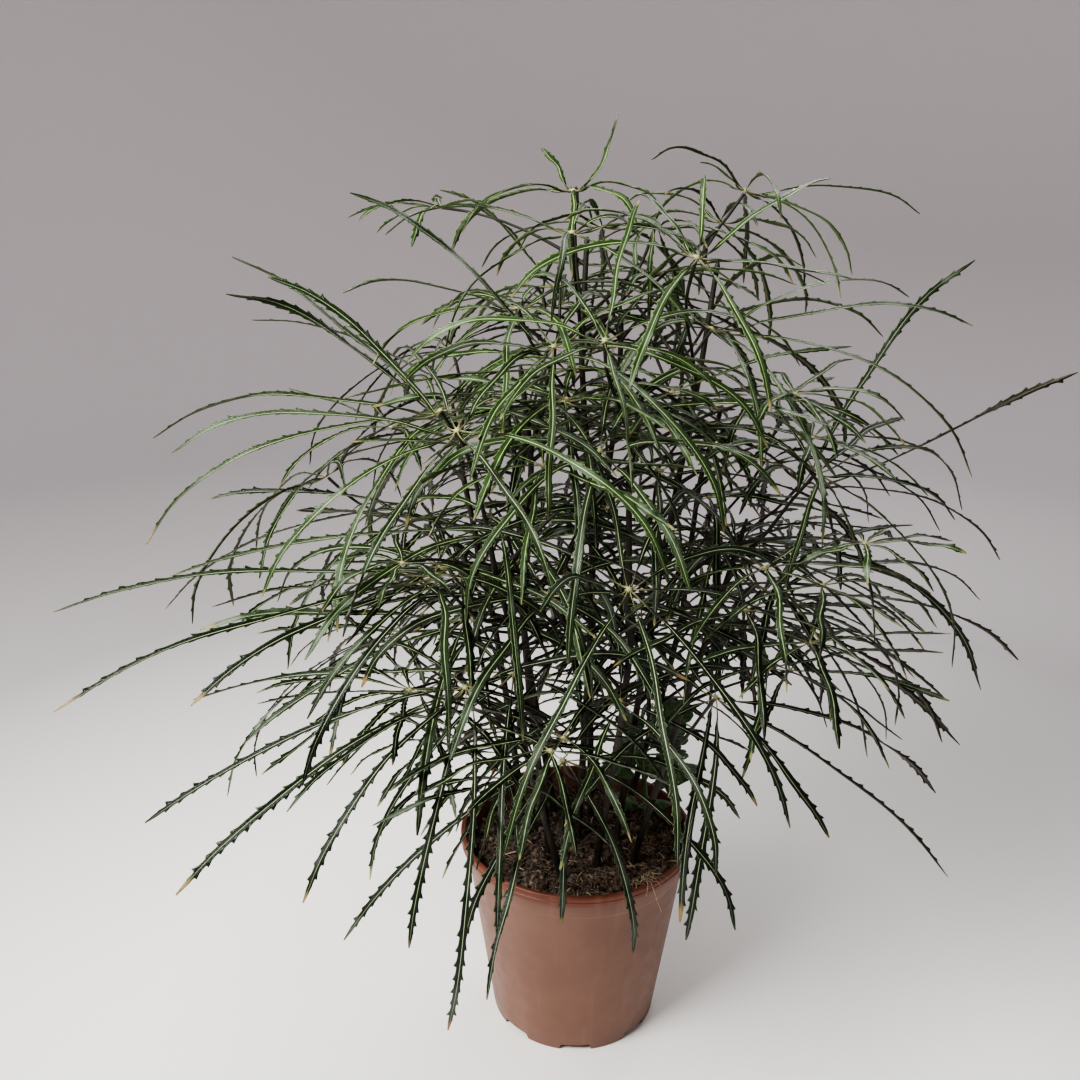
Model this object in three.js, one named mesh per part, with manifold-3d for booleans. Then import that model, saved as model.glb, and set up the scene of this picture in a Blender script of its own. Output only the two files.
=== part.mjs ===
// Potted false aralia: a plastic nursery pot, its soil, ten thin canes with their leaf stalks,
// a low young shoot, and the finger-like toothed leaves that make the round crown.
// Millimetres, +Z up. The origin is the middle of the pot's underside; -Y is the front.

import * as THREE from 'three';
import { mergeVertices } from 'three/addons/utils/BufferGeometryUtils.js';
import Module from 'manifold-3d';

const wasm = await Module();
wasm.setup();

// Pot
const potHeight = 168.4;
const potRimRadius = 95;
const potFootRadius = 68.7;
const potWall = 1.8;
const potSides = 26;
const collarHeight = 9;
const collarStep = 3;
const collarSlope = 0.8;
const lipRound = 1;
const bandDrop = 23;
const bandStep = 0.5;
const potFloorZ = 7;
const potFloorThickness = 2.2;
const footRingWidth = 6.5;
const footNotches = 8;
const footNotchWidth = 24;
const footNotchHeight = 5.6;
const middlePadRadius = 17;
const footSlope = 1.2;
const drainHoleRadius = 4.5;
const drainHoleSides = 8;
const drainHoleCircle = 40;
const drainHoles = 6;

// Soil
const soilTop = 150;
const soilRough = 2.4;
const soilShoulder = 2;
const soilRings = [0, 25, 50, 75];
const touchGap = 0.3;
const plantingDepth = 46;
const stemHoleClear = 0.6;

// Canes and leaf stalks
const caneSides = 5;
const caneBaseRadius = 3.1;
const caneTopRadius = 1.9;
const caneStations = 8;
const caneUprightAbove = 6;
const stalkSides = 3;
const stalkRadius = 1.2;
const stalkBaseRadius = 2.1;
const stalkEndRadius = 1.3;
const stalkShortest = 24;
const stalkLongest = 235;
const stalkLeastRise = 0.2;
const stalkUsualLength = 110;
const stalkUsualRise = 0.85;
const stalkSetOff = 20;

// Leaves
const hubRadius = 5.2;
const hubTop = 1.4;
const hubDepth = 2;
const hubCoreRadius = 4.9;
const rootHalfWidth = 0.85;
const rootDepth = 1.5;
const bladeHalfWidth = 3.3;
const ribDepth = 1.3;
const rootSpacing = THREE.MathUtils.degToRad(27);
const clearance = 0.5;
const mostTwist = 0.7;
const lowestLeaf = 14;
const slidingTries = 220;
const mostTries = 480;

// Where the photographer's eye stood, and how far off the picture plane is, in pixels.
// These turn a place seen in the picture, at a chosen depth, into a place in millimetres.
const eye = new THREE.Vector3(-31.6, -777.9, 690.2);
const pictureDistance = 1098.8;
const pictureMiddle = 540;
const lookDown = THREE.MathUtils.degToRad(19.33);
const pictureRoll = THREE.MathUtils.degToRad(0.41);

const up = new THREE.Vector3(0, 0, 1);
const frontwards = new THREE.Vector3(0, -1, 0);
const fullTurn = 2 * Math.PI;

// The place, in millimetres, of what is seen at (across, down) in the picture at depth y.
function seen(across, down, y) {
  const forward = new THREE.Vector3(0, Math.cos(lookDown), -Math.sin(lookDown));
  const upward = new THREE.Vector3(0, Math.sin(lookDown), Math.cos(lookDown));
  const right = new THREE.Vector3(1, 0, 0).applyAxisAngle(forward, -pictureRoll);
  upward.applyAxisAngle(forward, -pictureRoll);
  const ray = forward.clone()
    .addScaledVector(right, (across - pictureMiddle) / pictureDistance)
    .addScaledVector(upward, -(down - pictureMiddle) / pictureDistance);
  return eye.clone().addScaledVector(ray, (y - eye.y) / ray.y);
}

// A small repeatable random source: the same draws each run.
function randomSource(seed) {
  let state = seed;
  return () => {
    state = (state + 0x6d2b79f5) | 0;
    let mixed = Math.imul(state ^ (state >>> 15), 1 | state);
    mixed = (mixed + Math.imul(mixed ^ (mixed >>> 7), 61 | mixed)) ^ mixed;
    return ((mixed ^ (mixed >>> 14)) >>> 0) / 4294967296;
  };
}

// Materials
const finishes = {
  pot: { color: 0x8c5a48, roughness: 0.45 },
  soil: { color: 0x3a2c22, roughness: 1 },
  cane: { color: 0x3b2f2a, roughness: 0.7 },
  leaf: { color: 0x2c4a2a, roughness: 0.4 },
  youngLeaf: { color: 0x2f5230, roughness: 0.5 },
};

function finish(name) {
  return new THREE.MeshStandardMaterial({ ...finishes[name], metalness: 0 });
}

const plant = new THREE.Group();

function addMesh(name, geometry, finishName) {
  const mesh = new THREE.Mesh(geometry, finish(finishName));
  mesh.name = name;
  plant.add(mesh);
}

// Solids: from a geometry to a solid that can be joined or cut, and back.
function welded(geometry) {
  const bare = geometry.clone();
  bare.deleteAttribute('normal');
  bare.deleteAttribute('uv');
  return mergeVertices(bare);
}

function toSolid(geometry) {
  const merged = welded(geometry);
  return new wasm.Manifold(new wasm.Mesh({
    numProp: 3,
    vertProperties: Float32Array.from(merged.attributes.position.array),
    triVerts: Uint32Array.from(merged.index.array),
  }));
}

function toGeometry(solid) {
  const mesh = solid.getMesh();
  const geometry = new THREE.BufferGeometry();
  geometry.setAttribute('position', new THREE.BufferAttribute(mesh.vertProperties.slice(), 3));
  geometry.setIndex(new THREE.BufferAttribute(mesh.triVerts.slice(), 1));
  return geometry;
}

function geometryFrom(points, triangles) {
  const geometry = new THREE.BufferGeometry();
  const flat = points.flatMap((point) => [point.x, point.y, point.z]);
  geometry.setAttribute('position', new THREE.Float32BufferAttribute(flat, 3));
  geometry.setIndex(triangles.flat());
  return geometry;
}

// A lathe turned about Z from a profile of [radius, height] pairs.
function turned(profile, sides) {
  const outline = profile.map(([radius, height]) => new THREE.Vector2(radius, height));
  return new THREE.LatheGeometry(outline, sides).rotateX(Math.PI / 2);
}

// Pot: outer wall, collar with its lip, floor on a foot ring and a middle pad.

function potOuterRadius(z) {
  const topRadius = potRimRadius - collarStep;
  return THREE.MathUtils.lerp(potFootRadius, topRadius, z / potHeight);
}

function potInnerRadius(z) {
  return potOuterRadius(z) - potWall;
}

function makePot() {
  const collarZ = potHeight - collarHeight;
  const bandZ = potHeight - bandDrop;
  const floorTop = potFloorZ + potFloorThickness;
  const body = toSolid(turned([
    [0, 0],
    [middlePadRadius, 0],
    [middlePadRadius + footSlope, potFloorZ],
    [potFootRadius - footRingWidth, potFloorZ],
    [potFootRadius - footRingWidth + footSlope, 0],
    [potFootRadius, 0],
    [potOuterRadius(bandZ), bandZ],
    [potOuterRadius(bandZ) + bandStep, bandZ + bandStep],
    [potOuterRadius(collarZ) + bandStep, collarZ],
    [potRimRadius, collarZ + collarSlope],
    [potRimRadius, potHeight - lipRound],
    [potRimRadius - lipRound, potHeight],
    [potInnerRadius(potHeight) + lipRound, potHeight],
    [potInnerRadius(potHeight), potHeight - lipRound],
    [potInnerRadius(floorTop), floorTop],
    [0, floorTop],
  ], potSides));
  const cutters = [];
  for (let i = 0; i < footNotches; i += 1) {
    const angle = (i / footNotches) * fullTurn;
    const notch = new THREE.BoxGeometry(footRingWidth * 4, footNotchWidth, footNotchHeight * 2);
    notch.translate(potFootRadius, 0, 0);
    notch.rotateZ(angle);
    cutters.push(toSolid(notch));
  }
  for (let i = 0; i < drainHoles; i += 1) {
    const angle = (i / drainHoles) * fullTurn;
    const hole = new THREE.CylinderGeometry(
      drainHoleRadius, drainHoleRadius, potFloorZ * 4, drainHoleSides);
    hole.rotateX(Math.PI / 2);
    hole.translate(drainHoleCircle, 0, potFloorZ);
    hole.rotateZ(angle);
    cutters.push(toSolid(hole));
  }
  return toGeometry(cutters.reduce((pot, cutter) => pot.subtract(cutter), body));
}

// A tube through points, with a radius at each, closed at both ends.
function tube(points, radii, sides) {
  const vertices = [];
  const triangles = [];
  let reference = Math.abs(points[1].clone().sub(points[0]).normalize().z) > 0.9
    ? new THREE.Vector3(1, 0, 0) : up.clone();
  points.forEach((point, i) => {
    const before = points[Math.max(i - 1, 0)];
    const after = points[Math.min(i + 1, points.length - 1)];
    const tangent = after.clone().sub(before).normalize();
    const side = tangent.clone().cross(reference).normalize();
    reference = side.clone().cross(tangent).normalize();
    for (let k = 0; k < sides; k += 1) {
      const angle = (k / sides) * fullTurn;
      vertices.push(point.clone()
        .addScaledVector(side, radii[i] * Math.cos(angle))
        .addScaledVector(reference, radii[i] * Math.sin(angle)));
    }
  });
  for (let i = 0; i + 1 < points.length; i += 1) {
    for (let k = 0; k < sides; k += 1) {
      const a = i * sides + k;
      const b = i * sides + ((k + 1) % sides);
      triangles.push([a, a + sides, b], [b, a + sides, b + sides]);
    }
  }
  const last = (points.length - 1) * sides;
  for (let k = 1; k + 1 < sides; k += 1) {
    triangles.push([0, k, k + 1], [last, last + k + 1, last + k]);
  }
  return geometryFrom(vertices, triangles);
}

// What stands already, as short round rods, so that a new stalk or blade can be laid clear.
const placed = [];

function rodsAlong(points, radii, owner) {
  return points.slice(1).map((end, i) => {
    const start = points[i];
    const middle = start.clone().add(end).multiplyScalar(0.5);
    const radius = Math.max(radii[i], radii[i + 1]);
    return { start, end, middle, radius, reach: start.distanceTo(end) / 2 + radius, owner, order: i };
  });
}

// The least distance between two straight rods' middle lines.
function lineDistance(first, second) {
  const u = first.end.clone().sub(first.start);
  const v = second.end.clone().sub(second.start);
  const w = first.start.clone().sub(second.start);
  const a = u.dot(u);
  const b = u.dot(v);
  const c = v.dot(v);
  const d = u.dot(w);
  const e = v.dot(w);
  const slant = a * c - b * b;
  let s = slant > 1e-6 ? THREE.MathUtils.clamp((b * e - c * d) / slant, 0, 1) : 0;
  const t = THREE.MathUtils.clamp((b * s + e) / c, 0, 1);
  s = THREE.MathUtils.clamp((b * t - d) / a, 0, 1);
  return w.addScaledVector(u, s).addScaledVector(v, -t).length();
}

// A leaf's stalk end and its leaflets' roots lie close to its hub by nature, and so do the roots
// to one another.
function joinAtHub(rod, other) {
  const kinds = [rod.kind, other.kind];
  return rod.owner === other.owner && rod.kind !== undefined && other.kind !== undefined
    && (kinds.includes('hub') || kinds.every((kind) => kind === 'root'));
}

function rodsMeet(rod, other) {
  if (rod.middle.distanceTo(other.middle) > rod.reach + other.reach + clearance) return false;
  if (joinAtHub(rod, other)) return false;
  return lineDistance(rod, other) < rod.radius + other.radius + clearance;
}

function standsClear(rods) {
  return rods.every((rod) => placed.every((other) => !rodsMeet(rod, other)));
}

function aside(point) {
  return Math.hypot(point.x, point.y);
}

// A rod keeps off the table and off the pot's rim and wall.
function clearOfPot(rod) {
  const room = rod.radius + 2 * clearance;
  return [0, 0.25, 0.5, 0.75, 1].every((share) => {
    const point = rod.start.clone().lerp(rod.end, share);
    const besidePot = aside(point) - room > potRimRadius;
    const overPot = point.z - room > potHeight;
    return point.z - rod.radius > lowestLeaf && (overPot || besidePot);
  });
}

// Canes: each stands upright in its hole and leans out above the soil.
const canes = [
  { name: 'cane_01', foot: [-22, -12], top: [-46, -44, 560], sway: 12 },
  { name: 'cane_02', foot: [16, -30], top: [34, -84, 556], sway: -10 },
  { name: 'cane_03', foot: [2, 8], top: [0, 18, 640], sway: 8 },
  { name: 'cane_04', foot: [34, 4], top: [92, 14, 622], sway: -8 },
  { name: 'cane_05', foot: [-42, 14], top: [-98, 26, 520], sway: 10 },
  { name: 'cane_06', foot: [14, 42], top: [30, 98, 585], sway: -10 },
  { name: 'cane_07', foot: [-14, -46], top: [-62, -112, 440], sway: 8 },
  { name: 'cane_08', foot: [46, -26], top: [112, -52, 452], sway: 8 },
  { name: 'cane_09', foot: [-18, 48], top: [-62, 122, 500], sway: -8 },
  { name: 'cane_10', foot: [44, 38], top: [116, 112, 490], sway: 10 },
];

function layCane(cane) {
  const [x, y] = cane.foot;
  const foot = new THREE.Vector3(x, y, soilTop - plantingDepth);
  const bend = new THREE.Vector3(x, y, soilTop + caneUprightAbove);
  const top = new THREE.Vector3(...cane.top);
  const sideways = top.clone().sub(bend).cross(up).setLength(cane.sway);
  const middle = bend.clone().lerp(top, 0.5).add(sideways);
  const upper = bend.clone().lerp(top, 0.8).addScaledVector(sideways, -0.4);
  cane.line = new THREE.CatmullRomCurve3([bend, middle, upper, top]);
  cane.points = [foot, ...cane.line.getSpacedPoints(caneStations - 2)];
  cane.radii = cane.points.map((_, i) => (
    THREE.MathUtils.lerp(caneBaseRadius, caneTopRadius, i / (cane.points.length - 1))));
  cane.solids = [toSolid(tube(cane.points, cane.radii, caneSides))];
  cane.stalks = 0;
  placed.push(...rodsAlong(cane.points, cane.radii, cane.name));
}
canes.forEach(layCane);

function soilHole(foot, radius, depth) {
  const hole = [soilTop - depth - touchGap, soilTop + 20]
    .map((z) => new THREE.Vector3(foot[0], foot[1], z));
  return toSolid(tube(hole, [radius, radius], caneSides));
}

// Soil: fills the pot to a little below the rim, with an uneven crumbly top.
function makeSoil(holes) {
  const random = randomSource(11);
  const bottomZ = potFloorZ + potFloorThickness + touchGap;
  const edgeZ = soilTop - soilShoulder;
  const profile = [
    [0, bottomZ],
    [potInnerRadius(bottomZ) - touchGap, bottomZ],
    [potInnerRadius(edgeZ) - touchGap, edgeZ],
    ...soilRings.map((radius) => [radius, soilTop]).reverse(),
  ];
  const geometry = welded(turned(profile, potSides));
  const position = geometry.attributes.position;
  for (let i = 0; i < position.count; i += 1) {
    if (position.getZ(i) > edgeZ + 1) {
      position.setZ(i, soilTop + soilRough * (2 * random() - 1));
    }
  }
  return toGeometry(holes.reduce((soil, hole) => soil.subtract(hole), toSolid(geometry)));
}

// Leaves: where each hub is seen, how deep it stands, and where the leaflets that show best end.
// A tip is [across, down, depth, arch]; a leaf's other leaflets fan out by rule.
const leaves = [
  { hub: [457, 430, -170], reach: 175, tips: [
    [268, 277, -150, 0.10], [172, 453, -190, 0.16], [262, 597, -235, 0.16], [343, 637, -250, 0.10],
    [555, 597, -235, 0.14], [535, 350, -120, 0.12], [548, 436, -60, 0.20] ] },
  { hub: [436, 575, -160], reach: 190, tips: [
    [54, 612, -200, 0.07], [54, 712, -260, 0.07], [191, 706, -250, 0.10], [302, 786, -240, 0.16],
    [448, 750, -330, 0.14], [560, 640, -150, 0.16] ] },
  { hub: [629, 589, -190], reach: 180, tips: [
    [504, 855, -280, 0.12], [790, 828, -240, 0.10], [822, 668, -150, 0.16], [540, 612, -280, 0.2] ] },
  { hub: [697, 257, -90], reach: 150, tips: [
    [771, 412, -160, 0.10], [854, 279, -70, 0.02], [629, 390, -170, 0.12], [637, 193, -40, 0.10],
    [831, 178, 10, 0.05], [702, 184, 30, 0.20], [640, 300, -10, 0.10] ] },
  { hub: [712, 328, -10], reach: 175, tips: [
    [822, 548, -130, 0.26], [972, 477, -40, 0.22], [973, 326, 60, 0.10], [909, 297, 145, 0.12] ] },
  { hub: [818, 471, -60], reach: 165, tips: [
    [955, 520, -40, 0.16], [875, 648, -130, 0.10], [952, 667, -90, 0.20], [785, 588, -130, 0.16],
    [962, 510, 60, 0.30], [903, 418, 30, 0.06] ] },
  { hub: [573, 190, 20], reach: 110, tips: [
    [541, 149, 60, 0.10], [618, 114, 60, -0.12], [462, 232, -30, 0.24], [572, 275, -60, 0.20],
    [660, 205, 0, 0.22] ] },
  { hub: [554, 346, -120], reach: 165, tips: [
    [350, 193, -150, 0.06], [405, 380, -170, 0.12], [548, 520, -190, 0.12], [470, 480, -215, 0.12] ] },
  { hub: [605, 340, -140], reach: 160, tips: [
    [632, 487, -220, 0.12], [720, 398, -150, 0.16], [500, 420, -190, 0.16], [640, 200, -80, 0.10] ] },
  { hub: [440, 410, -80], reach: 185, tips: [
    [232, 257, -70, 0.06], [153, 438, -100, 0.16], [146, 545, -130, 0.20], [226, 294, -80, 0.14] ] },
  { hub: [465, 687, -150], reach: 185, tips: [
    [145, 823, -190, 0.05], [176, 895, -240, 0.06], [303, 903, -235, 0.10], [409, 948, -225, 0.10],
    [448, 1030, -215, 0.16], [287, 812, -270, 0.12] ] },
  { hub: [563, 760, -120], reach: 165, tips: [
    [561, 924, -190, 0.14], [633, 953, -170, 0.16], [487, 1000, -275, 0.18], [344, 940, -175, 0.08],
    [460, 963, -200, 0.12] ] },
  { hub: [716, 697, -90], reach: 180, tips: [
    [948, 877, -110, 0.06], [829, 838, -150, 0.06], [686, 940, -160, 0.12], [936, 793, -30, 0.10] ] },
  { hub: [746, 190, 50], reach: 140, tips: [
    [920, 214, 70, 0.14], [852, 275, 10, 0.24], [840, 298, -30, 0.20], [700, 162, 60, 0.1] ] },
  { hub: [740, 543, -30], reach: 170, tips: [
    [895, 725, -70, 0.30], [924, 650, 0, 0.08], [981, 690, 40, 0.20] ] },
  { hub: [802, 482, 50], reach: 185, tips: [
    [1078, 372, 40, 0.02], [975, 260, 110, 0.10], [1000, 560, 60, 0.2] ] },
  { hub: [763, 588, 20], reach: 175, tips: [
    [1018, 660, 40, 0.12], [944, 698, -20, 0.05], [980, 600, 90, 0.2] ] },
  { hub: [518, 307, -40], reach: 145, tips: [[372, 366, -80, 0.20], [343, 293, -30, 0.14]] },
  { hub: [572, 232, -60], reach: 120, tips: [[385, 235, -30, 0.2]] },
  { hub: [602, 226, 80], reach: 115, tips: [] },
  { hub: [655, 226, 45], reach: 115, tips: [] },
  { hub: [722, 222, 110], reach: 120, tips: [] },
  { hub: [560, 285, 60], reach: 140, tips: [[440, 190, 60, 0.14]] },
  { hub: [650, 300, 60], reach: 140, tips: [] },
  { hub: [564, 400, -60], reach: 150, tips: [] },
  { hub: [495, 400, 20], reach: 165, tips: [[252, 320, 20, 0.1]] },
  { hub: [600, 450, -125], reach: 150, tips: [[690, 590, -190, 0.12]] },
  { hub: [503, 525, -95], reach: 175, tips: [[171, 576, -100, 0.05], [305, 660, -220, 0.14]] },
  { hub: [547, 594, -110], reach: 150, tips: [[450, 760, -230, 0.12]] },
  { hub: [700, 612, 60], reach: 175, tips: [[960, 745, 60, 0.10]] },
  { hub: [465, 618, -60], reach: 190, tips: [[244, 744, -120, 0.08], [200, 630, -90, 0.08]] },
  { hub: [512, 672, -110], reach: 170, tips: [[193, 700, -60, 0.06], [370, 880, -200, 0.1]] },
  { hub: [620, 700, -125], reach: 150, tips: [[560, 870, -220, 0.1], [757, 806, -120, 0.1]] },
  { hub: [660, 470, -60], reach: 160, tips: [[750, 582, -130, 0.14]] },
  { hub: [420, 500, 40], reach: 180, tips: [[165, 609, 40, 0.12], [207, 500, 30, 0.08]] },
  { hub: [690, 420, 110], reach: 165, tips: [[880, 440, 150, 0.1]] },
];

// Leaves of the far side, by rule: hubs on three rounds of the crown, behind the middle.
const farRounds = [
  { height: 300, out: 175, from: 25, to: 155, count: 4, reach: 195 },
  { height: 440, out: 195, from: 35, to: 165, count: 4, reach: 185 },
  { height: 560, out: 135, from: 40, to: 140, count: 3, reach: 160 },
];
const farStrayTurn = 10;
const farStrayOut = 24;
const farStrayHeight = 50;

const farRandom = randomSource(31);
const farLeaves = farRounds.flatMap((round) => (
  Array.from({ length: round.count }, (_, i) => {
    const turn = THREE.MathUtils.lerp(round.from, round.to, i / (round.count - 1))
      + farStrayTurn * (farRandom() - 0.5);
    const out = round.out + farStrayOut * (farRandom() - 0.5);
    const height = round.height + farStrayHeight * (farRandom() - 0.5);
    const place = new THREE.Vector3(out, 0, height)
      .applyAxisAngle(up, THREE.MathUtils.degToRad(turn));
    return { place, reach: round.reach, tips: [] };
  })));

// The way a leaf's fan faces: up, and outward from the plant's middle.
function facing(place) {
  const outward = new THREE.Vector3(place.x, place.y, 0);
  const lean = THREE.MathUtils.clamp(outward.length() / 230, 0.1, 0.7);
  return outward.normalize().multiplyScalar(lean).add(up).normalize();
}

function settle(leaf, i) {
  leaf.name = `leaf_${String(i + 1).padStart(2, '0')}`;
  leaf.place = leaf.place ?? seen(...leaf.hub);
  leaf.normal = facing(leaf.place);
  leaf.random = randomSource(101 + i);
  return leaf;
}
const allLeaves = [...leaves, ...farLeaves].map(settle);

// Leaf stalks: each grows from the cane and height that give it the easiest clear way up.
const stalkShares = [0, 0.07, 0.4, 0.78, 1];
const stalkRadii = [stalkBaseRadius, stalkRadius * 1.3, stalkRadius, stalkRadius, stalkEndRadius];

// The stalk ends a touch below the hub, lower by what its leaning end would rise.
function stalkLine(from, leaf) {
  const end = leaf.place.clone().addScaledVector(leaf.normal, -hubDepth - touchGap);
  const chord = end.clone().sub(from);
  const length = chord.length();
  const start = chord.clone().normalize().add(up.clone().multiplyScalar(0.35)).normalize();
  const curve = new THREE.CubicBezierCurve3(
    from,
    from.clone().addScaledVector(start, length * 0.35),
    end.clone().addScaledVector(leaf.normal, -length * 0.3),
    end,
  );
  const points = stalkShares.map((share) => curve.getPointAt(share));
  const lean = end.clone().sub(points[points.length - 2]).angleTo(leaf.normal);
  points[points.length - 1].addScaledVector(leaf.normal, -stalkEndRadius * Math.sin(lean));
  return points;
}

// Routes from every cane and height, the most natural first: of the usual length and rise, not
// leading back inward, and from a cane that carries few stalks yet.
function stalkRoutes(leaf) {
  const routes = [];
  canes.forEach((cane) => {
    for (let share = 0.08; share <= 1; share += 0.04) {
      const from = cane.line.getPointAt(share);
      const chord = leaf.place.clone().sub(from);
      const length = chord.length();
      const rise = Math.asin(chord.z / length);
      if (length > stalkShortest && length < stalkLongest && rise > stalkLeastRise) {
        const inward = Math.max(0, aside(from) - aside(leaf.place));
        const cost = Math.abs(length - stalkUsualLength) / 60 + Math.abs(rise - stalkUsualRise) * 2
          + cane.stalks * 0.25 + inward / 20;
        routes.push({ cane, from, cost });
      }
    }
  });
  return routes.sort((a, b) => a.cost - b.cost);
}

function stalkRods(points, leaf) {
  const rods = rodsAlong(points, stalkRadii, leaf.name);
  rods[rods.length - 1].kind = 'stalk end';
  return rods;
}

// Near its root a stalk may lie close to its own cane, which it grows out of.
function growStalk(leaf) {
  const route = stalkRoutes(leaf).find(({ cane, from }) => {
    const rods = stalkRods(stalkLine(from, leaf), leaf).slice(1);
    const leavesCane = (rod, other) => (
      other.owner === cane.name && rod.order === 1 && rod.start.distanceTo(from) < stalkSetOff);
    return rods.every((rod) => placed.every((other) => (
      leavesCane(rod, other) || !rodsMeet(rod, other))));
  });
  if (!route) throw new Error(`no way for the stalk of ${leaf.name}`);
  const points = stalkLine(route.from, leaf);
  route.cane.solids.push(toSolid(tube(points, stalkRadii, stalkSides)));
  route.cane.stalks += 1;
  placed.push(...stalkRods(points, leaf));
}

function holdHubClear(leaf) {
  const ends = [leaf.place, leaf.place.clone().add(leaf.normal)];
  const [rod] = rodsAlong(ends, [hubRadius, hubRadius], leaf.name);
  placed.push({ ...rod, kind: 'hub' });
}

allLeaves.forEach(holdHubClear);
allLeaves.forEach(growStalk);

// Young shoot: a short stem with broad round-toothed leaves, low among the canes.
const shoot = {
  foot: [60, 12],
  depth: 20,
  height: 100,
  stemRadii: [2.2, 2, 1.6],
  leaves: 6,
  leafLength: 46,
  leafHalfWidth: 14,
  leafThickness: 0.8,
  triesPerLeaf: 40,
};
// Half a broad leaf's outline: share of its length, share of its half width.
const lobeOutline = [
  [0.3, 0.5], [0.42, 0.34], [0.55, 0.95], [0.66, 0.72], [0.8, 0.85], [0.88, 0.5],
];
const broadStalkRadius = 0.9;
const broadLeafSag = 3;

function broadLeaf(root, direction, length, halfWidth) {
  const side = direction.clone().cross(up).normalize();
  const below = side.clone().cross(direction).normalize();
  if (below.z > 0) below.negate();
  const at = (share, offset, sag) => root.clone()
    .addScaledVector(direction, share * length)
    .addScaledVector(side, offset)
    .addScaledVector(below, sag);
  const outline = [
    [0, broadStalkRadius],
    ...lobeOutline.map(([share, width]) => [share, width * halfWidth]),
  ];
  const rim = [
    ...outline.map(([share, width]) => at(share, width, broadLeafSag * share)),
    at(1, 0, broadLeafSag * 1.7),
    ...outline.slice().reverse().map(([share, width]) => at(share, -width, broadLeafSag * share)),
  ];
  const upper = [...rim, at(0.6, 0, 0)];
  const lower = upper.map((point) => point.clone().addScaledVector(below, shoot.leafThickness));
  const count = rim.length;
  const triangles = [];
  for (let i = 0; i < count; i += 1) {
    const next = (i + 1) % count;
    const shift = count + 1;
    triangles.push([count, i, next], [count + shift, next + shift, i + shift]);
    triangles.push([i, i + shift, next], [next, i + shift, next + shift]);
  }
  return toSolid(geometryFrom([...upper, ...lower], triangles));
}

function makeShoot() {
  const random = randomSource(53);
  const [x, y] = shoot.foot;
  const foot = new THREE.Vector3(x, y, soilTop - shoot.depth);
  const middle = new THREE.Vector3(x, y, soilTop + caneUprightAbove);
  const top = new THREE.Vector3(x - 8, y + 6, soilTop + shoot.height);
  let solid = toSolid(tube([foot, middle, top], shoot.stemRadii, caneSides));
  placed.push(...rodsAlong([foot, middle, top], shoot.stemRadii, 'young_shoot'));
  for (let i = 0; i < shoot.leaves; i += 1) {
    const height = THREE.MathUtils.lerp(0.42, 0.96, i / (shoot.leaves - 1));
    const root = middle.clone().lerp(top, height);
    for (let attempt = 0; attempt < shoot.triesPerLeaf; attempt += 1) {
      const turn = i * 2.4 + attempt * 0.35 * (random() - 0.5);
      const direction = new THREE.Vector3(Math.cos(turn), Math.sin(turn), 0.3 + 0.5 * random());
      direction.normalize();
      const length = shoot.leafLength * (0.75 + 0.4 * random());
      const points = [0.2, 0.55, 1].map((share) => (
        root.clone().addScaledVector(direction, share * length)));
      const radii = [3, shoot.leafHalfWidth, shoot.leafHalfWidth * 0.8];
      const rods = rodsAlong(points, radii, `young_shoot_${i}`);
      const clear = rods.every((rod) => placed.every((other) => (
        other.owner.startsWith('young_shoot') || !rodsMeet(rod, other))));
      if (clear) {
        solid = solid.add(broadLeaf(root, direction, length, shoot.leafHalfWidth));
        placed.push(...rods);
        break;
      }
    }
  }
  return toGeometry(solid);
}

const youngShoot = makeShoot();

// A leaflet: a toothed blade on a thin stalk, three points at each station (two edges and the rib).
const stations = [
  { share: 0, left: rootHalfWidth, right: rootHalfWidth, depth: rootDepth },
  { share: 0.2, left: bladeHalfWidth * 0.72, right: bladeHalfWidth * 0.48, depth: ribDepth },
  { share: 0.42, left: bladeHalfWidth * 0.74, right: bladeHalfWidth * 1.1, depth: ribDepth },
  { share: 0.63, left: bladeHalfWidth * 1.14, right: bladeHalfWidth * 0.74, depth: ribDepth },
  { share: 0.83, left: bladeHalfWidth * 0.66, right: bladeHalfWidth * 0.98, depth: ribDepth },
];
const tipRadius = 0.6;
const leastOutward = 0.6;
const stationRadii = [...stations.map(({ left, right }) => Math.max(left, right)), tipRadius];

// The middle line of a leaflet: it leaves the hub outward and bows over to its tip.
function bladeLine(root, radial, tip, arch) {
  const chord = tip.clone().sub(root);
  const length = chord.length();
  const along = chord.clone().normalize();
  const lift = up.clone().addScaledVector(radial, 0.3);
  lift.addScaledVector(along, -lift.dot(along)).normalize();
  const leave = along.clone().addScaledVector(radial, 0.45).addScaledVector(lift, arch * 3.4)
    .normalize();
  leave.addScaledVector(radial, Math.max(0, leastOutward - leave.dot(radial))).normalize();
  const arrive = along.clone().addScaledVector(lift, -arch * 4.6).normalize();
  const curve = new THREE.CubicBezierCurve3(
    root,
    root.clone().addScaledVector(leave, length * 0.34),
    tip.clone().addScaledVector(arrive, -length * 0.34),
    tip,
  );
  return [...stations.map(({ share }) => curve.getPointAt(share)), tip];
}

// Points of a leaflet: left edge, right edge and rib at each station, then the tip.
function bladePoints({ line, radial, twist }, normal) {
  let heading = radial;
  const across = normal.clone().cross(radial);
  const points = [];
  stations.forEach((station, i) => {
    const tangent = i === 0 ? radial : line[i + 1].clone().sub(line[i - 1]).normalize();
    across.applyQuaternion(new THREE.Quaternion().setFromUnitVectors(heading, tangent));
    heading = tangent;
    const side = across.clone().applyAxisAngle(tangent, twist * station.share);
    const below = side.clone().cross(tangent);
    points.push(
      line[i].clone().addScaledVector(side, station.left),
      line[i].clone().addScaledVector(side, -station.right),
      line[i].clone().addScaledVector(below, station.depth),
    );
  });
  points.push(line[line.length - 1]);
  return points;
}

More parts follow.
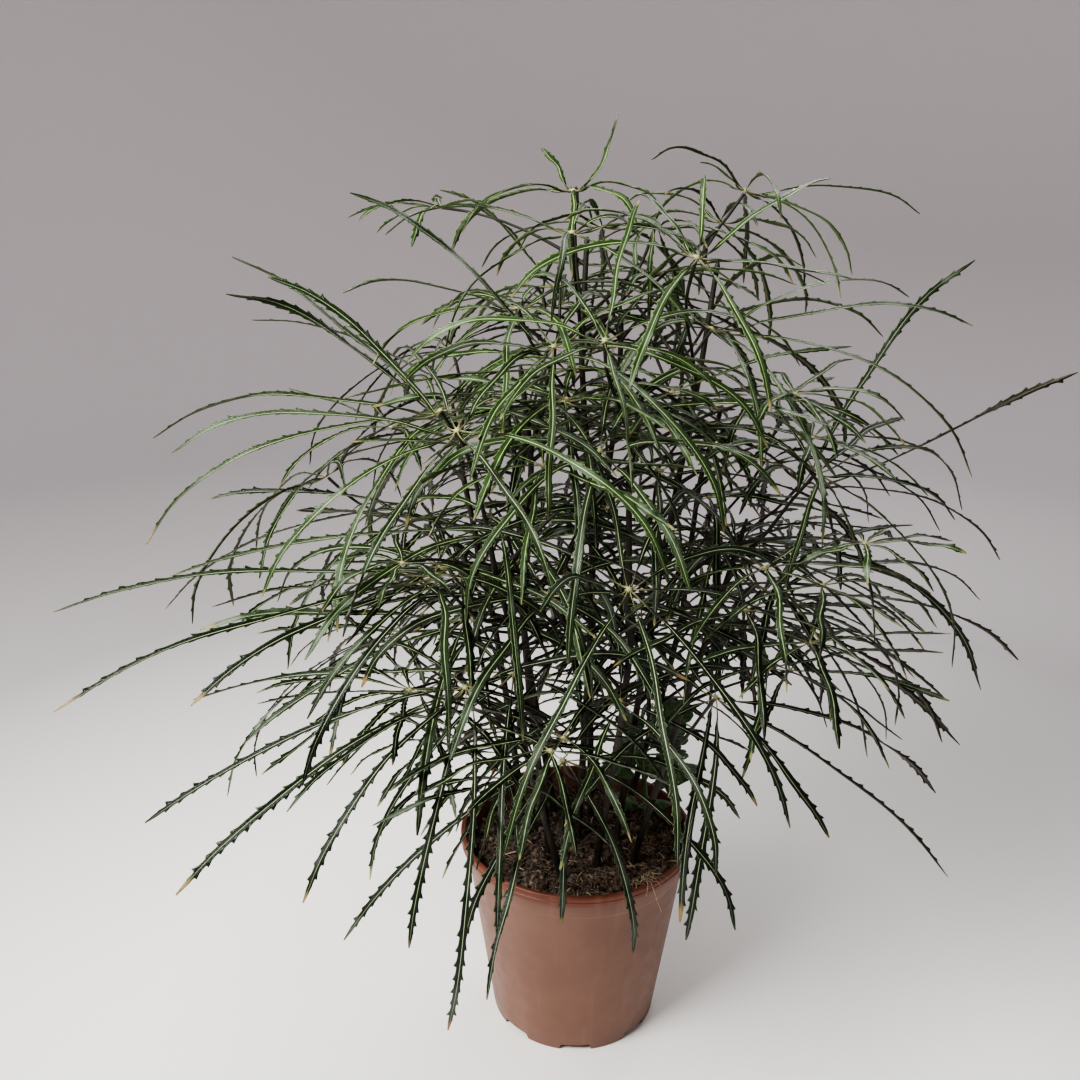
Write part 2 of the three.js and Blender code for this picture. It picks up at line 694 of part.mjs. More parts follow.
function bladeTriangles(first) {
  const triangles = [];
  for (let i = 0; i + 1 < stations.length; i += 1) {
    const left = first + 3 * i;
    const [right, rib] = [left + 1, left + 2];
    triangles.push(
      [left, right, right + 3], [left, right + 3, left + 3],
      [right, rib, rib + 3], [right, rib + 3, right + 3],
      [rib, left, left + 3], [rib, left + 3, rib + 3],
    );
  }
  const end = first + 3 * (stations.length - 1);
  const tip = end + 3;
  triangles.push([end, end + 1, tip], [end + 1, end + 2, tip], [end + 2, end, tip]);
  return triangles;
}

function bladeSolid(leaflet, normal) {
  const rootCap = [1, 0, 2];
  return toSolid(geometryFrom(bladePoints(leaflet, normal), [rootCap, ...bladeTriangles(0)]));
}

// Directions in the plane of the fan, measured round the leaf's normal.
function fanAxes(leaf) {
  const across = leaf.normal.clone().cross(frontwards).normalize();
  const away = leaf.normal.clone().cross(across).normalize();
  return { across, away };
}

function wrapped(angle) {
  return THREE.MathUtils.euclideanModulo(angle, fullTurn);
}

function fanAngle(leaf, direction) {
  const { across, away } = fanAxes(leaf);
  return wrapped(Math.atan2(direction.dot(away), direction.dot(across)));
}

function fanDirection(leaf, angle) {
  const { across, away } = fanAxes(leaf);
  return across.multiplyScalar(Math.cos(angle)).addScaledVector(away, Math.sin(angle));
}

function turnBetween(a, b) {
  return Math.abs(Math.atan2(Math.sin(a - b), Math.cos(a - b)));
}

// The leaflets that a leaf wants: those seen in the picture first, then an even fan between them,
// tried at steps that never fall on the same place twice.
const fanStep = 2.4;
const fanTries = 24;

function wantedLeaflets(leaf) {
  const wanted = leaf.tips.map(([across, down, y, arch]) => {
    const tip = seen(across, down, y);
    return { tip, arch, seenInPicture: true, angle: fanAngle(leaf, tip.clone().sub(leaf.place)) };
  });
  const start = leaf.random() * fullTurn;
  const count = leafletCount(leaf);
  const leastBetween = fullTurn / (count * 1.45);
  for (let i = 0; wanted.length < count && i < fanTries; i += 1) {
    const angle = wrapped(start + i * fanStep);
    if (wanted.every((other) => turnBetween(other.angle, angle) > leastBetween)) {
      wanted.push(ruledLeaflet(leaf, angle));
    }
  }
  return wanted;
}

// A leaf that shows well in the picture has nine leaflets, the others eight.
function leafletCount(leaf) {
  return leaf.tips.length > 3 ? 9 : 8;
}

// A leaflet by rule: long on the outer side, shorter towards the cane, bowed down by its weight.
function ruledLeaflet(leaf, angle) {
  const direction = fanDirection(leaf, angle);
  const outward = new THREE.Vector3(leaf.place.x, leaf.place.y, 0).normalize();
  const outer = 0.5 + 0.5 * direction.dot(outward);
  const length = leaf.reach * (0.62 + 0.38 * outer) * (0.88 + 0.2 * leaf.random());
  const droop = 0.2 + 0.34 * leaf.random() + 0.12 * outer;
  const tip = direction.clone().addScaledVector(leaf.normal, 0.1).addScaledVector(up, -droop)
    .normalize().multiplyScalar(length).add(leaf.place);
  return { tip, angle, arch: 0.1 + 0.3 * droop, seenInPicture: false };
}

// Spreads the leaflets' roots round the hub so that none stand closer than the root spacing.
const spreadRounds = 60;

function spreadRoots(wanted) {
  wanted.sort((a, b) => a.angle - b.angle);
  for (let round = 0; round < spreadRounds; round += 1) {
    wanted.forEach((leaflet, i) => {
      const next = wanted[(i + 1) % wanted.length];
      let gap = next.angle - leaflet.angle;
      if (i + 1 === wanted.length) gap += fullTurn;
      if (gap < rootSpacing) {
        leaflet.angle -= (rootSpacing - gap) / 2;
        next.angle += (rootSpacing - gap) / 2;
      }
    });
  }
}

// One more way to lay a leaflet. One that shows in the picture first slides its tip nearer to or
// further from the eye, which leaves it where it is seen; after that, any tip strays and shortens.
function leafletTry(leaf, leaflet, root, attempt) {
  const random = leaf.random;
  const arch = leaflet.arch + (random() - 0.5) * Math.min(attempt * 0.005, 0.26);
  if (leaflet.seenInPicture && attempt < slidingTries) {
    const slide = 1 + (random() - 0.5) * Math.min(attempt * 0.004, 0.24);
    return { tip: leaflet.tip.clone().sub(eye).multiplyScalar(slide).add(eye), arch };
  }
  const past = leaflet.seenInPicture ? attempt - slidingTries : attempt;
  const stray = new THREE.Vector3(random() - 0.5, random() - 0.5, random() - 0.5)
    .multiplyScalar(past * 0.9);
  const reach = leaflet.tip.distanceTo(root) * (1 - 0.3 * (attempt / mostTries) * random());
  return { tip: leaflet.tip.clone().add(stray).sub(root).setLength(reach).add(root), arch };
}

// Lays a leaflet clear of all that stands already, or leaves it out if nothing serves.
function layLeaflet(leaf, leaflet) {
  for (let attempt = 0; attempt < mostTries; attempt += 1) {
    const turn = leaflet.angle + (leaf.random() - 0.5) * Math.min(attempt * 0.002, 0.16);
    const radial = fanDirection(leaf, turn);
    const root = leaf.place.clone().addScaledVector(radial, hubRadius);
    const { tip, arch } = leafletTry(leaf, leaflet, root, attempt);
    const line = bladeLine(root, radial, tip, arch);
    const rods = rodsAlong(line, stationRadii, leaf.name);
    rods[0].kind = 'root';
    if (rods.every(clearOfPot) && standsClear(rods)) {
      const laid = { line, radial, twist: (leaf.random() - 0.5) * mostTwist };
      const solid = bladeSolid(laid, leaf.normal);
      if (leaf.solids.every((other) => solid.intersect(other).volume() < 1e-6)) {
        placed.push(...rods);
        leaf.solids.push(solid);
        Object.assign(leaflet, laid);
        return;
      }
    }
  }
}

// The middle of the hub, which no leaflet of its leaf may pass through.
function hubCore(leaf) {
  const ends = [-hubDepth, hubTop].map((height) => (
    leaf.place.clone().addScaledVector(leaf.normal, height)));
  return toSolid(tube(ends, [hubCoreRadius, hubCoreRadius], 8));
}

// The leaflets that show in the picture are laid first, over the whole plant; then the others.
allLeaves.forEach((leaf) => {
  leaf.wanted = wantedLeaflets(leaf);
  leaf.solids = [hubCore(leaf)];
  spreadRoots(leaf.wanted);
});
[true, false].forEach((first) => {
  allLeaves.forEach((leaf) => {
    leaf.wanted.filter((leaflet) => leaflet.seenInPicture === first)
      .forEach((leaflet) => layLeaflet(leaf, leaflet));
  });
});

// The leaf: its leaflets welded round a small hub, whose underside sits over the stalk's end.
function makeLeaf(leaf) {
  const laid = leaf.wanted.filter((leaflet) => leaflet.line);
  const points = [
    leaf.place.clone().addScaledVector(leaf.normal, hubTop),
    leaf.place.clone().addScaledVector(leaf.normal, -hubDepth),
  ];
  const triangles = [];
  const firsts = [];
  laid.forEach((leaflet) => {
    firsts.push(points.length);
    triangles.push(...bladeTriangles(points.length));
    points.push(...bladePoints(leaflet, leaf.normal));
  });
  firsts.forEach((first, i) => {
    const next = firsts[(i + 1) % firsts.length];
    const [left, right, rib] = [first, first + 1, first + 2];
    triangles.push([0, right, left], [0, left, next + 1]);
    triangles.push([1, rib, right], [1, left, rib], [1, next + 1, left]);
  });
  return geometryFrom(points, triangles);
}

// The plant, put together from the pot up.
const holes = canes.map((cane) => soilHole(cane.foot, caneBaseRadius + stemHoleClear, plantingDepth));
holes.push(soilHole(shoot.foot, shoot.stemRadii[0] + stemHoleClear, shoot.depth));

addMesh('pot', makePot(), 'pot');
addMesh('soil', makeSoil(holes), 'soil');
addMesh('young_shoot', youngShoot, 'youngLeaf');
allLeaves.forEach((leaf) => addMesh(leaf.name, makeLeaf(leaf), 'leaf'));
canes.forEach((cane) => {
  const joined = cane.solids.reduce((whole, stalk) => whole.add(stalk));
  addMesh(cane.name, toGeometry(joined), 'cane');
});

export default plant;
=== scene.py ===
import math
import random

import bmesh
import bpy
import numpy as np
from mathutils import Matrix, Vector, noise


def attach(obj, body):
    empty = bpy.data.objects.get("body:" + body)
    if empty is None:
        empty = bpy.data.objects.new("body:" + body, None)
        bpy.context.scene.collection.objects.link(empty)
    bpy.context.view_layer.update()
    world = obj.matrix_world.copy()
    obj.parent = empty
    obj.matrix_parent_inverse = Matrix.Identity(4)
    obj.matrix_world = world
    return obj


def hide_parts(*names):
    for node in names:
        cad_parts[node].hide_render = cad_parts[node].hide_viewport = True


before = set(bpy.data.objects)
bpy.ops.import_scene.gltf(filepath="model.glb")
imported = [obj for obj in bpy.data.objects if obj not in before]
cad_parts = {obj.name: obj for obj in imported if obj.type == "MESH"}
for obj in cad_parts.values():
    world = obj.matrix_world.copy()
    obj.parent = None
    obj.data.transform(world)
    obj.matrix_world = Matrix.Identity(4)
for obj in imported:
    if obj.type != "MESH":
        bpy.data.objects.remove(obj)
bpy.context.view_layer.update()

mm = 0.001


# Pot
# The real piece is one moulded nursery pot of terracotta-brown plastic: a thin tapering wall, a
# turned-over collar with a flat lip, a faint band line, and a notched foot ring with drain holes.

pot_sides = 128
pot_height = 168.4
foot_radius = 68.7
neck_radius = 92
wall_thickness = 1.8
foot_middle = 68
notch_count = 8
notch_depth, notch_width, notch_height = 26, 23, 5.6
notch_flare, notch_rounding = 1.3, 1.3
hole_count = 6
hole_circle, hole_radius, hole_depth = 40, 4.5, 12


def wall_radius(height):
    """The tapering wall's outer radius at a height, in millimetres."""
    return foot_radius + (neck_radius - foot_radius) * height / pot_height


floor_rings = [(17, 0), (17.6, 0.4), (18.2, 7), (62.2, 7), (63, 0.5), (63.6, 0), (68, 0),
               (68.5, 0.25), (68.8, 0.9)]
wall_rings = [(wall_radius(height), height) for height in (3, 20, 60, 100, 130, 143, 144.8)]
band_rings = [(wall_radius(145.4) + 0.12, 145.4), (wall_radius(145.9) + 0.42, 145.9)]
band_rings += [(wall_radius(height) + 0.5, height) for height in (146.6, 152, 157.5, 159.1)]
collar_rings = [(91.5, 159.4), (94.2, 159.9), (94.8, 160.2), (95, 160.9), (95, 163.2),
                (94.6, 163.6), (94.6, 163.9), (95, 164.3), (95, 166.6), (94.8, 167.4), (94.1, 168.1),
                (93.3, 168.4), (92.2, 168.4), (91.3, 168.1), (90.8, 167.4), (90.3, 166.2)]
inner_rings = [(wall_radius(height) - wall_thickness, height) for height in (165, 150, 80, 10)]
pot_wall_profile = (floor_rings + wall_rings + band_rings + collar_rings + inner_rings
                    + [(67, 9.2), (0.5, 9.2)])


def start_piece():
    """Nothing stays selected, so that an operator acts on the new primitive alone."""
    bpy.ops.object.select_all(action="DESELECT")


def select_only(piece):
    """The operators that follow act on this piece alone."""
    start_piece()
    piece.select_set(True)
    bpy.context.view_layer.objects.active = piece


def select_parts(piece, kind, wanted):
    """Selects, in edit mode, the vertices or the faces whose place passes the test."""
    bpy.ops.object.mode_set(mode="EDIT")
    bpy.ops.mesh.select_mode(type=kind)
    bpy.ops.mesh.select_all(action="DESELECT")
    bpy.ops.object.mode_set(mode="OBJECT")
    parts = piece.data.polygons if kind == "FACE" else piece.data.vertices
    for part in parts:
        part.select = wanted(part.center if kind == "FACE" else part.co)
    bpy.ops.object.mode_set(mode="EDIT")


def edit_all():
    """Opens the active piece for editing, with all of it selected."""
    bpy.ops.object.mode_set(mode="EDIT")
    bpy.ops.mesh.select_all(action="SELECT")


def face_outwards(inside=False):
    """Turns all faces outwards, or inwards for a room, and ends the editing."""
    bpy.ops.mesh.select_all(action="SELECT")
    bpy.ops.mesh.normals_make_consistent(inside=inside)
    bpy.ops.object.mode_set(mode="OBJECT")


def draw_up(rings, unit):
    """Draws the selected ring of edges through further rings, each a radius and a height."""
    for (radius, height), (wider, higher) in zip(rings, rings[1:]):
        growth = wider / radius
        bpy.ops.mesh.extrude_region_move(
            TRANSFORM_OT_translate={"value": (0, 0, (higher - height) * unit)})
        bpy.ops.transform.resize(value=(growth, growth, 1), center_override=(0, 0, higher * unit))


def turn_on_wheel(name, profile, sides):
    """A round body drawn up ring by ring, from the middle of its underside, and closed."""
    start_piece()
    radius, height = profile[0]
    bpy.ops.mesh.primitive_circle_add(vertices=sides, radius=radius * mm,
                                      location=(0, 0, height * mm), fill_type="TRIFAN")
    body = bpy.context.object
    body.name = name
    bpy.ops.object.transform_apply(location=True)
    edit_all()
    bpy.ops.mesh.region_to_loop()
    draw_up(profile, mm)
    bpy.ops.mesh.merge(type="CENTER")
    face_outwards()
    return body


def cut_away(body, cutters):
    """Cuts the cutters, joined as one, out of the body, and takes them away."""
    select_only(cutters[0])
    for cutter in cutters:
        cutter.select_set(True)
    bpy.ops.object.join()
    joined = bpy.context.object
    select_only(body)
    cut = body.modifiers.new("cut", "BOOLEAN")
    cut.object = joined
    cut.solver = "EXACT"
    bpy.ops.object.modifier_apply(modifier=cut.name)
    bpy.data.objects.remove(joined)


def notch_cutter(turn):
    """A block that widens downwards, round at its upper edges, set across the foot ring."""
    start_piece()
    bpy.ops.mesh.primitive_cube_add(
        size=1, location=(foot_middle * mm, 0, 0),
        scale=(notch_depth * mm, notch_width * mm, 2 * notch_height * mm))
    cutter = bpy.context.object
    bpy.ops.object.transform_apply(location=True, scale=True)
    select_parts(cutter, "VERT", lambda spot: spot.z < 0)
    bpy.ops.transform.resize(value=(1, notch_flare, 1), center_override=(foot_middle * mm, 0, 0))
    select_parts(cutter, "VERT", lambda spot: spot.z > 0)
    bpy.ops.mesh.bevel(offset=notch_rounding * mm, segments=4)
    bpy.ops.mesh.select_all(action="SELECT")
    bpy.ops.transform.rotate(value=turn, orient_axis="Z", center_override=(0, 0, 0))
    bpy.ops.object.mode_set(mode="OBJECT")
    return cutter


def hole_cutter(turn):
    """A round rod through the floor, where water drains."""
    start_piece()
    bpy.ops.mesh.primitive_cylinder_add(
        vertices=20, radius=hole_radius * mm, depth=hole_depth * mm,
        location=(hole_circle * mm * math.cos(turn), hole_circle * mm * math.sin(turn), 8 * mm))
    return bpy.context.object


pot = turn_on_wheel("pot_moulding", pot_wall_profile, pot_sides)
foot_cutters = [notch_cutter(notch * math.tau / notch_count) for notch in range(notch_count)]
foot_cutters += [hole_cutter(hole * math.tau / hole_count) for hole in range(hole_count)]
cut_away(pot, foot_cutters)
select_only(pot)
bpy.ops.object.shade_smooth_by_angle(angle=math.radians(38))


class Finish:
    """A material whose nodes are added one by one, each wired to the one before."""

    def __init__(self, name, roughness, specular=0.5):
        self.material = bpy.data.materials.new(name)
        self.material.use_nodes = True
        self.nodes = self.material.node_tree.nodes
        self.links = self.material.node_tree.links
        self.shader = self.nodes["Principled BSDF"]
        self.shader.inputs["Roughness"].default_value = roughness
        self.shader.inputs["Specular IOR Level"].default_value = specular

    def feed(self, socket, value):
        """Wires another node to a socket, or sets its plain number, direction or colour."""
        if isinstance(value, bpy.types.NodeSocket):
            self.links.new(value, socket)
        elif socket.type == "RGBA":
            socket.default_value = (*value, 1)
        else:
            socket.default_value = value

    def node(self, kind, settings=None, values=None):
        """A new node with its settings, and with its sockets fed by name or number."""
        made = self.nodes.new("ShaderNode" + kind)
        for key, value in (settings or {}).items():
            setattr(made, key, value)
        for key, value in (values or {}).items():
            self.feed(made.inputs[key], value)
        return made

    def place(self, stretch=(1, 1, 1)):
        """Object coordinates, squeezed or stretched."""
        source = self.node("TexCoord").outputs["Object"]
        return self.node("Mapping", values={"Vector": source, "Scale": stretch}).outputs["Vector"]

    def parts(self, vector):
        """A vector's X, Y and Z."""
        return self.node("SeparateXYZ", values={"Vector": vector}).outputs

    def held_values(self, name):
        """The three numbers that the piece holds at each of its points under a name."""
        return self.parts(self.node("Attribute", {"attribute_name": name}).outputs["Vector"])

    def grain(self, scale, detail=4, stretch=(1, 1, 1), roughness=0.55):
        """A soft random pattern, finer with a larger scale."""
        return self.node("TexNoise", values={
            "Vector": self.place(stretch), "Scale": scale, "Detail": detail,
            "Roughness": roughness}).outputs["Fac"]

    def maths(self, operation, first, second=0.0):
        return self.node("Math", {"operation": operation}, {0: first, 1: second}).outputs[0]

    def times(self, first, second):
        return self.maths("MULTIPLY", first, second)

    def span(self, value, low, high, out_low=0.0, out_high=1.0):
        """Turns a value's range into another, held at both ends."""
        return self.node("MapRange", {"clamp": True}, {
            "Value": value, "From Min": low, "From Max": high,
            "To Min": out_low, "To Max": out_high}).outputs["Result"]

    def mix(self, amount, first, second):
        """Two colours blended. The node's colour sockets are its inputs 6 and 7 and output 2."""
        return self.node("Mix", {"data_type": "RGBA"}, {0: amount, 6: first, 7: second}).outputs[2]

    def colour(self, socket):
        self.links.new(socket, self.shader.inputs["Base Color"])

    def dull(self, socket):
        self.links.new(socket, self.shader.inputs["Roughness"])

    def relief(self, height, depth):
        """Fine bumps, in metres from lowest to highest."""
        bump = self.node("Bump", values={"Height": height, "Distance": depth, "Strength": 1.0})
        self.links.new(bump.outputs["Normal"], self.shader.inputs["Normal"])


pot_plastic = Finish("terracotta_brown_plastic", 0.42, 0.45)
height_up_pot = pot_plastic.parts(pot_plastic.place())["Z"]
clouding = pot_plastic.grain(14, 3)
wall_tone = pot_plastic.mix(pot_plastic.span(clouding, 0.35, 0.65),
                            (0.178, 0.087, 0.059), (0.212, 0.109, 0.076))
rim_share = pot_plastic.span(height_up_pot, 0.1588, 0.1598)
rim_tone = pot_plastic.mix(rim_share, wall_tone, (0.175, 0.058, 0.034))
foot_share = pot_plastic.span(height_up_pot, 0.0, 0.03, 0.45, 0.0)
foot_tone = pot_plastic.mix(foot_share, rim_tone, (0.19, 0.105, 0.08))
spots = pot_plastic.span(pot_plastic.grain(420, 2), 0.7, 0.76, 0.0, 0.55)
spotted = pot_plastic.mix(spots, foot_tone, (0.09, 0.05, 0.035))
streaks = pot_plastic.span(pot_plastic.grain(60, 3, (1, 1, 0.06)), 0.55, 0.8, 0.0, 0.22)
pot_plastic.colour(pot_plastic.mix(streaks, spotted, (0.42, 0.25, 0.19)))
pot_plastic.dull(pot_plastic.span(pot_plastic.grain(90, 4), 0.3, 0.7, 0.34, 0.5))
pot_plastic.relief(pot_plastic.grain(900, 3), 0.00004)
pot.data.materials.append(pot_plastic.material)
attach(pot, "root")
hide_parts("pot")


# Soil
# The real piece is loose dark peat that fills the pot to a little below its rim, with crumbs,
# straw and fine roots on top, matted most at the right and front where they reach the wall.

soil_top = 150
soil_radius = 87.2
soil_profile = [(67.2, 9.5), (67.8, 10.2), (86.6, 145), (87, 148), (86.9, 150)]
soil_rings = 46
soil_sides = 168
crumb_count = 3800
strand_count, matted_strands, rim_strands = 960, 620, 34
strand_steps = 6
wall_gap = 0.8
rim_inside, rim_outside, over_rim = 84, 97, 169


def soil_height(x, y):
    """The height of the soil at a place, in millimetres."""
    lump = noise.noise(Vector((x / 26, y / 26, 4.0)))
    clod = noise.noise(Vector((x / 8, y / 8, 9.0)))
    crumb = noise.noise(Vector((x / 3, y / 3, 2.0)))
    return soil_top + 2.0 * lump + 1.1 * clod + 0.6 * crumb


rings_inwards = [(soil_radius * (1 - ring / soil_rings), soil_top) for ring in range(1, soil_rings)]
soil = turn_on_wheel("soil_bed", soil_profile + rings_inwards, soil_sides)
for vertex in soil.data.vertices:
    if vertex.co.z > (soil_top - 1) * mm:
        vertex.co.z = soil_height(vertex.co.x / mm, vertex.co.y / mm) * mm
for face in soil.data.polygons:
    face.use_smooth = True

peat = Finish("dark_peat", 0.95, 0.2)
peat_tone = peat.mix(peat.span(peat.grain(260, 6), 0.35, 0.68),
                     (0.034, 0.025, 0.02), (0.17, 0.125, 0.1))
straw_bits = peat.span(peat.grain(700, 2, (1, 0.25, 1)), 0.66, 0.74, 0.0, 0.7)
algae = peat.span(peat.grain(24, 3), 0.62, 0.75, 0.0, 0.35)
peat.colour(peat.mix(algae, peat.mix(straw_bits, peat_tone, (0.16, 0.1, 0.055)),
                     (0.03, 0.045, 0.014)))
peat.relief(peat.grain(520, 8, roughness=0.7), 0.0012)
soil.data.materials.append(peat.material)
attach(soil, "root")
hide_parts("soil")


def lift_shape(piece):
    """Takes a modelled piece away, and keeps its points and faces, numbered by place, to copy."""
    places = [vertex.co[:] for vertex in piece.data.vertices]
    order = sorted(range(len(places)), key=lambda spot: [round(part, 6) for part in places[spot]])
    number_of = {spot: rank for rank, spot in enumerate(order)}
    faces = []
    for face in piece.data.polygons:
        corners = [number_of[corner] for corner in face.vertices]
        first = corners.index(min(corners))
        faces.append(tuple(corners[first:] + corners[:first]))
    bpy.data.objects.remove(piece)
    return np.array([places[spot] for spot in order]), sorted(faces)


def same_for_all(value, points):
    """One value, repeated for each of the points."""
    return np.tile(value, (len(points), 1))


def unit_rows(rows):
    """The direction of each row, one long."""
    return rows / np.linalg.norm(rows, axis=1)[:, None]


def gather(name, shapes, smooth=True):
    """One mesh of many shapes: each has points, faces, and named values for points or corners."""
    all_points, all_faces, all_values = zip(*shapes)
    starts = np.cumsum([0] + [len(points) for points in all_points])
    corners = [corner + start for faces, start in zip(all_faces, starts)
               for face in faces for corner in face]
    totals = [len(face) for faces in all_faces for face in faces]
    mesh = bpy.data.meshes.new(name)
    mesh.vertices.add(int(starts[-1]))
    mesh.vertices.foreach_set("co", np.concatenate(all_points).astype(np.float32).ravel())
    mesh.loops.add(len(corners))
    mesh.loops.foreach_set("vertex_index", np.array(corners, dtype=np.int32))
    mesh.polygons.add(len(totals))
    mesh.polygons.foreach_set("loop_start", np.cumsum([0] + totals[:-1]).astype(np.int32))
    mesh.update(calc_edges=True)
    mesh.polygons.foreach_set("use_smooth", [smooth] * len(totals))
    for key in all_values[0]:
        values = np.concatenate([held[key] for held in all_values]).astype(np.float32)
        if len(values) == len(corners):
            mesh.uv_layers.new(name=key).data.foreach_set("uv", values.ravel())
        else:
            held_at = mesh.attributes.new(key, "FLOAT_VECTOR", "POINT")
            held_at.data.foreach_set("vector", values.ravel())
    mesh.validate()
    piece = bpy.data.objects.new(name, mesh)
    bpy.context.scene.collection.objects.link(piece)
    return piece


crumb_random = random.Random(7)
start_piece()
bpy.ops.mesh.primitive_ico_sphere_add(subdivisions=1, radius=1 * mm)
crumb_points, crumb_faces = lift_shape(bpy.context.object)
crumbs = []
for _ in range(crumb_count):
    reach = soil_radius * math.sqrt(crumb_random.random()) * 0.985
    turn = crumb_random.random() * math.tau
    x, y = reach * math.cos(turn), reach * math.sin(turn)
    size = 0.4 + 2.2 * crumb_random.random() ** 4
    jitter = np.array([[crumb_random.uniform(0.7, 1.35) for _ in range(3)] for _ in crumb_points])
    spun = Matrix.Rotation(crumb_random.random() * math.tau, 3, "Z") @ Matrix.Rotation(
        crumb_random.random() * math.tau, 3, "X")
    shape = (crumb_points * jitter * size) @ np.array(spun)
    shape += np.array([x, y, soil_height(x, y) + 0.25 * size]) * mm
    tone = (crumb_random.random() ** 2, crumb_random.random(), 0)
    crumbs.append((shape, crumb_faces, {"tone": same_for_all(tone, shape)}))
crumb_bed = gather("soil_crumbs", crumbs, smooth=False)

crumb_earth = Finish("crumbled_peat", 0.95, 0.2)
crumb_draws = crumb_earth.held_values("tone")
crumb_tone = crumb_earth.mix(crumb_draws["X"], (0.035, 0.026, 0.02), (0.31, 0.235, 0.18))
crumb_grey = crumb_earth.mix(crumb_earth.span(crumb_draws["Y"], 0.8, 0.9, 0.0, 0.6),
                             crumb_tone, (0.2, 0.18, 0.155))
crumb_earth.colour(crumb_earth.mix(crumb_earth.span(crumb_earth.grain(330, 3), 0.4, 0.66, 0.0, 0.5),
                                   crumb_grey, (0.02, 0.013, 0.01)))
crumb_earth.relief(crumb_earth.grain(1500, 4), 0.0004)
crumb_bed.data.materials.append(crumb_earth.material)
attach(crumb_bed, "root")


def lay_strand(path, thickness, held_name, held_value, sides=3):
    """A thin round strand along a path, thinner at both ends, that holds one value all over."""
    path = np.array(path)
    along = unit_rows(np.gradient(path, axis=0))
    across = unit_rows(np.cross(along, np.array([0.13, 0.27, 0.95])))
    upward = np.cross(across, along)
    shares = np.linspace(0, 1, len(path))
    radii = thickness * (0.25 + 0.75 * np.sin(np.pi * np.clip(shares, 0.06, 0.94)) ** 0.5)
    rings = []
    for side in range(sides):
        turn = side * math.tau / sides
        rings.append(path + across * (radii * math.cos(turn))[:, None]
                     + upward * (radii * math.sin(turn))[:, None])
    points = np.stack(rings, axis=1).reshape(-1, 3)
    faces = []
    for step in range(len(path) - 1):
        for side in range(sides):
            a = step * sides + side
            b = step * sides + (side + 1) % sides
            faces.append((a, b, b + sides, a + sides))
    faces.append(tuple(reversed(range(sides))))
    faces.append(tuple(range(len(points) - sides, len(points))))
    return points, faces, {held_name: same_for_all(held_value, points)}


def straight_path(start, end):
    """Evenly spaced places from one end to the other."""
    return [np.array(start) * (1 - step / strand_steps) + np.array(end) * step / strand_steps
            for step in range(strand_steps + 1)]


def crawling_path(x, y, heading, length, bow, lift, tilt):
    """A bowed, slightly arched line over the soil, which follows the pot's wall if it meets it."""
    path = []
    for step in range(strand_steps + 1):
        x += math.cos(heading) * length / strand_steps
        y += math.sin(heading) * length / strand_steps
        heading += bow
        away = math.hypot(x, y)
        if away > soil_radius - wall_gap:
            x, y = x * (soil_radius - wall_gap) / away, y * (soil_radius - wall_gap) / away
        arch = math.sin(step / strand_steps * math.pi) * lift + max(0, tilt) * step / 3
        path.append((x * mm, y * mm, (soil_height(x, y) + 0.4 + arch) * mm))
    return path


def spilling_path(turn, reach, heading, length, draw):
    """A line from the soil's edge up over the pot's rim and down outside it."""
    path = []
    for step in range(strand_steps + 1):
        share = step / strand_steps
        x = reach * math.cos(turn) + length * share * math.cos(heading)
        y = reach * math.sin(turn) + length * share * math.sin(heading)
        heading += draw.gauss(0, 0.22)
        away = math.hypot(x, y)
        height = soil_height(x, y) + 1 if away < rim_inside else over_rim + draw.uniform(0, 2.5)
        height -= 2.5 * max(away - rim_outside, 0)
        path.append((x * mm, y * mm, height * mm))
    return path


root_random = random.Random(19)
strands = []
for strand in range(strand_count):
    matted = strand < matted_strands
    straw = strand % 3 == 0
    turn = root_random.gauss(-0.55, 0.75) if matted else root_random.random() * math.tau
    reach = soil_radius * (root_random.uniform(0.5, 0.98) if matted
                           else math.sqrt(root_random.random()) * 0.95)
    heading = root_random.random() * math.tau
    length = root_random.uniform(4, 15) if straw else root_random.uniform(5, 22)
    bow = root_random.uniform(-0.06, 0.06) if straw else root_random.gauss(0, 0.28)
    lift = root_random.uniform(0.2, 2.2)
    tilt = root_random.uniform(-0.9, 1.4) if straw else 0
    path = crawling_path(reach * math.cos(turn), reach * math.sin(turn), heading, length, bow,
                         lift, tilt)
    if straw:
        path = straight_path(path[0], path[-1])
    thickness = root_random.choice((0.35, 0.5, 0.75) if straw else (0.12, 0.18, 0.26)) * mm
    strands.append(lay_strand(path, thickness, "tone", (root_random.random() ** 1.6, 0, 0)))
for strand in range(rim_strands):
    turn = root_random.gauss(-0.98, 0.07)
    reach = root_random.uniform(76, 88)
    heading = turn + root_random.gauss(0, 0.7)
    path = spilling_path(turn, reach, heading, root_random.uniform(5, 20), root_random)
    thickness = root_random.choice((0.15, 0.25, 0.4)) * mm
    strands.append(lay_strand(path, thickness, "tone", (root_random.uniform(0.5, 1), 0, 0)))
root_mat = gather("soil_roots", strands)

root_straw = Finish("dry_root_straw", 0.8, 0.3)
strand_colour = root_straw.mix(root_straw.held_values("tone")["X"],
                               (0.14, 0.078, 0.05), (0.62, 0.49, 0.34))
root_straw.colour(root_straw.mix(root_straw.span(root_straw.grain(600, 3), 0.45, 0.7, 0.0, 0.6),
                                 strand_colour, (0.06, 0.04, 0.028)))
root_mat.data.materials.append(root_straw.material)
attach(root_mat, "root")


# Canes and leaf stalks
# Each real cane is a thin dark woody stem with pale specks, ringed by old leaf scars. Its long
# leaf stalks grow out of it, each from a swollen, clasping base, and are the same dark colour.

